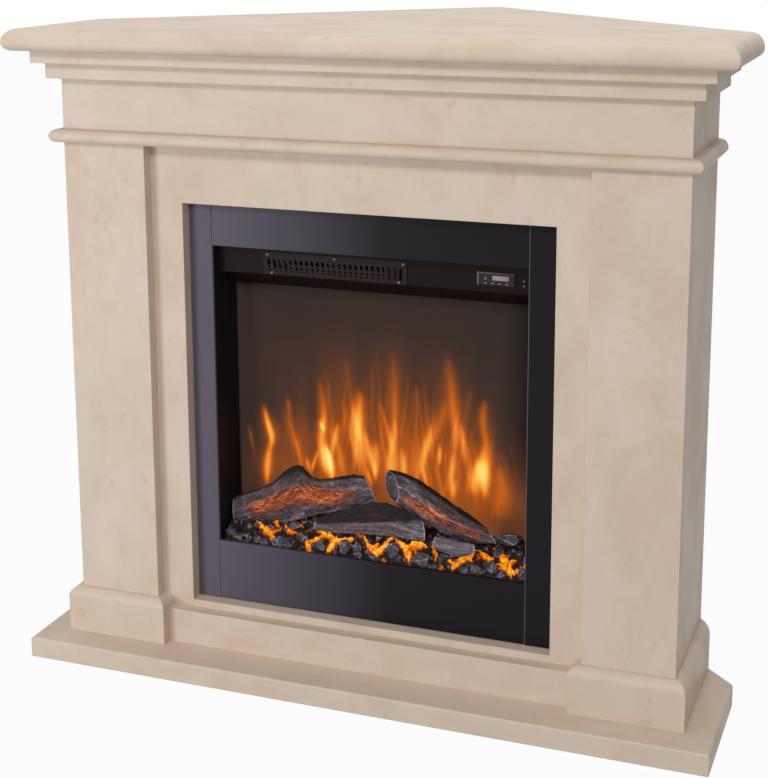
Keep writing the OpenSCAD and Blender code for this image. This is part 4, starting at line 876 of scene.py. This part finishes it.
# Lit cracks between the coals: points (x, y) on the bed, half the crack's width, and its heat
SHARDS = [
    ([(-206, 80), (-188, 71), (-174, 64), (-166, 57)], 4.4, 1),
    ([(-190, 64), (-174, 66), (-160, 74)], 2.8, 0.7), ([(-178, 94), (-174, 84), (-166, 76)], 3.2, 0.9),
    ([(-146, 92), (-138, 84), (-126, 82)], 3.4, 0.8),
    ([(-164, 90), (-151, 76), (-140, 70), (-130, 70)], 3.2, 0.85), ([(-122, 72), (-112, 80)], 2.2, 0.4),
    ([(-114, 64), (-105, 54), (-100, 51)], 4.4, 1),
    ([(-113, 62), (-100, 63), (-90, 70), (-80, 78)], 3.6, 1),
    ([(-100, 78), (-81, 74), (-62, 67), (-46, 69), (-40, 76)], 4.8, 1.2),
    ([(-62, 68), (-70, 59), (-73, 52)], 5, 1.15), ([(-44, 88), (-29, 80), (-22, 84)], 2.6, 0.6),
    ([(-88, 84), (-76, 78)], 2.4, 0.7), ([(-22, 79), (-6, 64), (7, 60), (15, 70), (25, 86)], 5, 1.2),
    ([(-4, 64), (4, 72)], 4, 1), ([(30, 82), (47, 73), (58, 60), (60, 54)], 5, 1.2),
    ([(47, 74), (61, 78), (80, 78)], 5.4, 1.15), ([(60, 70), (72, 64)], 3, 0.8),
    ([(86, 84), (97, 70), (102, 60)], 2.8, 0.75),
    ([(120, 62), (132, 60), (142, 66), (152, 72), (156, 82)], 4.6, 1.05),
    ([(134, 62), (130, 54)], 3.2, 0.9), ([(144, 66), (158, 66)], 3, 0.9),
    ([(158, 84), (175, 75), (190, 71)], 3.6, 0.95), ([(168, 78), (164, 70)], 2.6, 0.7),
    ([(184, 90), (203, 75), (213, 68), (225, 57)], 4.4, 1.1), ([(211, 69), (224, 76)], 3.4, 0.95),
    ([(196, 68), (212, 62), (222, 54)], 3.8, 1), ([(224, 58), (236, 66), (241, 74)], 3, 0.8),
    ([(108, 56), (116, 52)], 2.4, 0.6), ([(16, 54), (24, 52)], 2, 0.5),
]
# The larger coals: x, y, half length and height, the last two still to be stretched
COALS = [
    (-240, 60, 9, 7), (-224, 56, 10, 7), (-209, 54, 11, 8), (-194, 56, 9, 6), (-180, 54, 8, 6),
    (-158, 57, 12, 9), (-139, 56, 10, 7), (-121, 66, 10, 7), (-141, 82, 10, 6), (-88, 57, 11, 10),
    (-60, 79, 8, 5), (-45, 59, 12, 11), (-27, 62, 8, 7), (-22, 54, 9, 6), (34, 63, 12, 12),
    (44, 55, 7, 6), (79, 57, 14, 10), (100, 53, 8, 5), (113, 62, 9, 8), (112, 78, 9, 6),
    (149, 55, 10, 8), (170, 58, 13, 10), (188, 60, 11, 10), (190, 84, 10, 8), (206, 54, 9, 7),
    (238, 58, 9, 8), (243, 76, 8, 8), (-96, 82, 9, 5), (4, 82, 9, 5), (0, 53, 8, 6), (203, 113, 17, 11),
]
COAL_STRETCH = (1.3, 1.25)  # in length and height
COAL_COUNT = 190
COAL_TRIES = 9000
COAL_SEED = 5
FRONT_ROW, BEHIND = (52, 66), (66, 117)  # the depths y between which the small coals lie
COAL_REACH = 245
COAL_CORNERS = 15
LIT_FROM = 0.34  # small coals keep off the bed where it is hotter than this


def bed_level(y):
    """Height of the bed at a depth y."""
    s = min(1, max(0, (y - BED_FRONT) / (BED_BACK - BED_FRONT)))
    return BED_Z + BED_RISE * math.sin(math.pi / 2 * s) ** 0.8


def ripple(x, y, along, across, seed):
    return noise.noise(Vector((x / along, y / across, seed)))


def near_line(x, y, line):
    """How far (x, y) is from a line of points, and how far along the line that is, from 0 to 1."""
    best, where = math.inf, 0
    for k, ((ax, ay), (bx, by)) in enumerate(zip(line, line[1:])):
        dx, dy = bx - ax, by - ay
        s = min(1, max(0, ((x - ax) * dx + (y - ay) * dy) / (dx**2 + dy**2)))
        d = math.hypot(x - ax - s * dx, y - ay - s * dy)
        if d < best:
            best, where = d, (k + s) / (len(line) - 1)
    return best, where


def bed_glow(x, y):
    """Heat of the bed at (x, y): slender tongues that narrow to points, with a dull glow round them."""
    bent_x = x + 3.0 * ripple(x, y, 6, 6, 4) + 2.0 * ripple(x, y, 2.4, 3.2, 9)
    bent_y = y + 2.6 * ripple(x, y, 6, 6, 14) + 1.6 * ripple(x, y, 2.4, 2.4, 19)
    tongue = halo = 0.0
    for line, half_width, hot in SHARDS:
        near = near_line(x, y, line)[0]
        halo = max(halo, 0.17 * hot * hump(near, 12))
        if near > 20:
            continue
        d, s = near_line(bent_x, bent_y, line)
        w = 1.1 * half_width * (0.1 + 0.9 * math.sin(math.pi * (0.04 + 0.92 * s)))
        tongue = max(tongue, hot * math.exp(-((d / w) ** 4)))
    return tongue * (0.9 + 0.5 * ripple(x, y, 5, 5, 21)) + halo * (1 + ripple(x, y, 4, 4, 31))


def ember_material():
    """Dark resin, lit from below where it is thin."""
    t = Tree("ember_resin")
    v = t.place()
    glow = t.attribute("glow")
    hot = t.times(glow, t.span(t.noise(v, 130, 5, 0.7, 1.0), 0.36, 0.60, 0.6, 1.1))
    light = t.ramp(hot, [
        (0.0, BLACK), (0.10, lin(26, 9, 3)), (0.25, lin(96, 36, 8)), (0.45, lin(190, 88, 10)),
        (0.7, lin(238, 136, 20)), (0.9, lin(252, 166, 36)), (1.0, lin(255, 200, 80)),
    ])
    c = t.noise(v, 120, 5, 0.7)
    c = t.ramp(c, [(0.35, lin(24, 19, 19)), (0.55, lin(44, 37, 37)), (0.75, lin(86, 78, 79))])
    return t.finish(
        t.mix(t.span(glow, 0.02, 0.3), c, lin(30, 12, 6)), 0.6,
        Specular_IOR_Level=0.06, Normal=t.bump(t.noise(v, 260, 4, 0.6, 0.5), 0.3, 0.001),
        Emission_Color=light, Emission_Strength=1.0,
    )


def coal_material():
    """Grey cinder with brown patches and worn pale edges, and a dull glow on its underside."""
    t = Tree("coal")
    v = t.place()
    pores = t.noise(v, 170, 6, 0.72)
    c = t.ramp(pores, [
        (0.34, lin(40, 35, 38)), (0.5, lin(72, 64, 70)),
        (0.64, lin(104, 96, 103)), (0.78, lin(146, 138, 145)),
    ])
    c = t.mix(t.span(t.noise(v, 50, 4, 0.6), 0.46, 0.60, 0, 0.75), c, lin(38, 29, 29))
    worn = t.times(t.attribute("edge"), t.span(t.noise(v, 95, 5, 0.7), 0.46, 0.58))
    c = t.mix(t.times(worn, 0.75), c, lin(176, 168, 175))
    light = t.ramp(t.attribute("glow"), [(0.0, BLACK), (0.4, lin(44, 14, 6)), (1.0, lin(168, 68, 22))])
    return t.finish(
        c, 0.5, Normal=t.bump(pores, 0.6, 0.001), Specular_IOR_Level=0.25,
        Emission_Color=light, Emission_Strength=0.7,
    )


def bed_surface():
    """Points of the bed's lumpy top, row by row from front to back, and the heat at each."""
    nx, ny = BED_GRID
    verts, heats = [], []
    for i in range(nx + 1):
        x = -BED_X + 2 * BED_X * i / nx
        for j in range(ny + 1):
            y = BED_FRONT + (BED_BACK - BED_FRONT) * (j / ny) ** 1.5
            lump = noise.fractal(Vector((x / 14, y / 14, 1)), 0.7, 2.1, 4)
            heat = bed_glow(x, y)
            share = 0.2 if j in (0, ny) or i in (0, nx) else 1
            verts.append(at(x, y, bed_level(y) + share * (2.2 + 2.4 * lump + 2.6 * min(1.2, heat))))
            heats.append(heat)
    return verts, heats


def make_bed():
    """The bed's lumpy top, and walls from its rim to its underside."""
    verts, heats = bed_surface()
    nx, ny = BED_GRID
    row = ny + 1
    faces = [f[::-1] for f in grid_faces(nx + 1, row)]
    rim = [i * row for i in range(nx)] + [nx * row + j for j in range(ny)]
    rim += [i * row + ny for i in range(nx, 0, -1)] + list(range(ny, 0, -1))
    start, n = len(verts), len(rim)
    verts += [Vector((verts[k].x, verts[k].y, BED_FLOOR * MM)) for k in rim]
    heats += [0] * n
    for k in range(n):
        m = (k + 1) % n
        faces.append((rim[k], start + k, start + m, rim[m]))
    piece = add_piece("ember_surface", verts, faces, ember_material())
    put_values(piece, "glow", np.array(heats) / BED_HOTTEST)
    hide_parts("ember_bed")


def coal_lump(rng, length, height):
    """A chipped lump round the origin, and the layer that marks the points on its worn edges."""
    bm = bmesh.new()
    worn = bm.verts.layers.float.new("edge")
    squat = rng.uniform(0.65, 0.9)
    for _ in range(COAL_CORNERS):
        v = Vector((rng.gauss(0, 1), rng.gauss(0, 1), rng.gauss(0, 1))).normalized()
        bm.verts.new((v.x * length, v.y * length * squat, v.z * height))
    bmesh.ops.convex_hull(bm, input=bm.verts)
    bmesh.ops.delete(bm, geom=[v for v in bm.verts if not v.link_faces], context="VERTS")
    bmesh.ops.dissolve_limit(bm, angle_limit=math.radians(24), verts=bm.verts, edges=bm.edges)
    narrow = 0.035 * length + 0.15
    made = bmesh.ops.bevel(
        bm, geom=list(bm.edges), offset=narrow, segments=1, profile=0.5, affect="EDGES", clamp_overlap=True
    )["faces"]
    for v in bm.verts:
        v[worn] = 1.0
    flat = [f for f in bm.faces if f not in set(made)]
    bmesh.ops.inset_individual(bm, faces=flat, thickness=0.8 * narrow, use_even_offset=True)
    for f in flat:
        for v in f.verts:
            v[worn] = 0.0
    bmesh.ops.triangulate(bm, faces=flat)
    inner = [e for e in bm.edges if e.calc_length() > 2.6 and not any(v[worn] for v in e.verts)]
    bmesh.ops.subdivide_edges(bm, edges=inner, cuts=1, use_grid_fill=True)
    bm.verts.index_update()
    return bm, worn


def one_coal(rng, x, y, length, height):
    """A lump on the bed, as its points, faces, edge values and heats."""
    bm, worn = coal_lump(rng, length, height)
    turn = Matrix.Rotation(rng.uniform(0, 6.3), 3, "Z") @ Matrix.Rotation(rng.uniform(-0.35, 0.35), 3, "X")
    seed = Vector([rng.uniform(0, 99) for _ in range(3)])
    points, edges, heats = [], [], []
    heat = min(1, 0.25 + bed_glow(x, y))
    for v in bm.verts:
        p = turn @ v.co + 0.35 * noise.noise_vector(v.co / 4 + seed)
        px = min(BED_X - 1.5, max(1.5 - BED_X, x + p.x))
        py = min(BED_BACK - 0.5, max(BED_FRONT + 0.5, y + p.y))
        points.append(at(px, py, bed_level(y) + 0.35 * height + 1.5 + p.z))
        edges.append(v[worn])
        heats.append(heat * max(0, -0.3 - v.co.z / height) * 1.2)
    faces = [tuple(v.index for v in f.verts) for f in bm.faces]
    bm.free()
    return points, faces, edges, heats


def coal_spots(rng):
    """Places and sizes of the coals: the larger ones, then small ones at random."""
    wider, taller = COAL_STRETCH
    spots = [(x, y, wider * length, taller * height) for x, y, length, height in COALS]
    for _ in range(COAL_TRIES):
        if len(spots) == COAL_COUNT:
            break
        y = rng.uniform(*(FRONT_ROW if rng.random() < 0.55 else BEHIND))
        x = rng.uniform(-COAL_REACH, COAL_REACH)
        r = rng.uniform(2.2, 5.6) if y < BEHIND[0] else rng.uniform(3.5, 8)
        crowded = any((x - a) ** 2 + (y - b) ** 2 < (0.70 * (r + c)) ** 2 for a, b, c, _ in spots)
        if not crowded and bed_glow(x, y) <= LIT_FROM:
            spots.append((x, y, r, 0.8 * r))
    return spots


def make_coals():
    rng = random.Random(COAL_SEED)
    noise.seed_set(COAL_SEED)  # for noise_vector
    points, faces, edges, heats = [], [], [], []
    for spot in coal_spots(rng):
        p, f, e, h = one_coal(rng, *spot)
        faces += [tuple(k + len(points) for k in face) for face in f]
        points += p
        edges += e
        heats += h
    piece = add_piece("coals", points, faces, coal_material(), smooth=False)
    put_values(piece, "edge", edges)
    put_values(piece, "glow", heats)


make_bed()
make_coals()

# -------- light, floor and background

# Each lamp: name, place, where it points, width and height, all in metres, then watts and colour
LAMPS = [
    ("key", (-1.67, -2.95, 0.66), (-0.15, 0, 0.5), (1.0, 1.2), 34, (0.95, 0.95, 1)),
    ("fill", (0.5, -3.9, 2.9), (0, 0, 0.6), (0.9, 0.8), 58, (1, 0.98, 0.96)),
    ("overhead", (0.1, 0.2, 3.3), (0, 0.1, 0.6), (3.0, 2.6), 38, (1, 1, 1)),
]
WORLD_LIGHT = 0.30
FLOOR_WHITE = 0.955  # the rest of what is seen of the floor is its own lit surface, with the shadow
FLOOR_RADIUS = 14
FLOOR_SIDES = 96
FLOOR_Z = -0.0008


def make_lamps():
    for name, place, target, size, watts, colour in LAMPS:
        light = bpy.data.lights.new(name, "AREA")
        light.shape = "RECTANGLE"
        light.size, light.size_y = size
        light.energy = watts
        light.color = colour
        lamp = add_object(name, light)
        lamp.location = place
        lamp.rotation_euler = (Vector(target) - Vector(place)).to_track_quat("-Z", "Y").to_euler()


def make_world():
    """Soft light all round, and plain white where it is seen."""
    t = Tree("studio", bpy.data.worlds, "OutputWorld")
    soft = t.node("Background", {"Color": WHITE, "Strength": WORLD_LIGHT})
    white = t.node("Background", {"Color": WHITE, "Strength": 1.0})
    mix = t.node("MixShader", {0: t.seen(), 1: soft.outputs[0], 2: white.outputs[0]})
    bpy.context.scene.world = t.close(mix)


def make_floor():
    """A pale round floor, mostly white where it is seen."""
    t = Tree("pale_floor")
    c = t.mix(t.noise(t.place(), 3, 3), lin(194, 194, 194), lin(200, 200, 200))
    matt = t.node("BsdfPrincipled", {"Base Color": c, "Roughness": 0.8, "Specular IOR Level": 0.1})
    white = t.node("Emission", {"Color": WHITE, "Strength": 1.0})
    share = t.times(t.seen(), FLOOR_WHITE)
    material = t.close(t.node("MixShader", {0: share, 1: matt.outputs[0], 2: white.outputs[0]}))
    angles = [2 * math.pi * k / FLOOR_SIDES for k in range(FLOOR_SIDES)]
    ring = [(FLOOR_RADIUS * math.cos(a), FLOOR_RADIUS * math.sin(a), FLOOR_Z) for a in angles]
    floor = add_mesh("floor", ring, [tuple(range(FLOOR_SIDES))], material)


make_lamps()
make_world()
make_floor()
bpy.context.scene.view_settings.view_transform = "Standard"
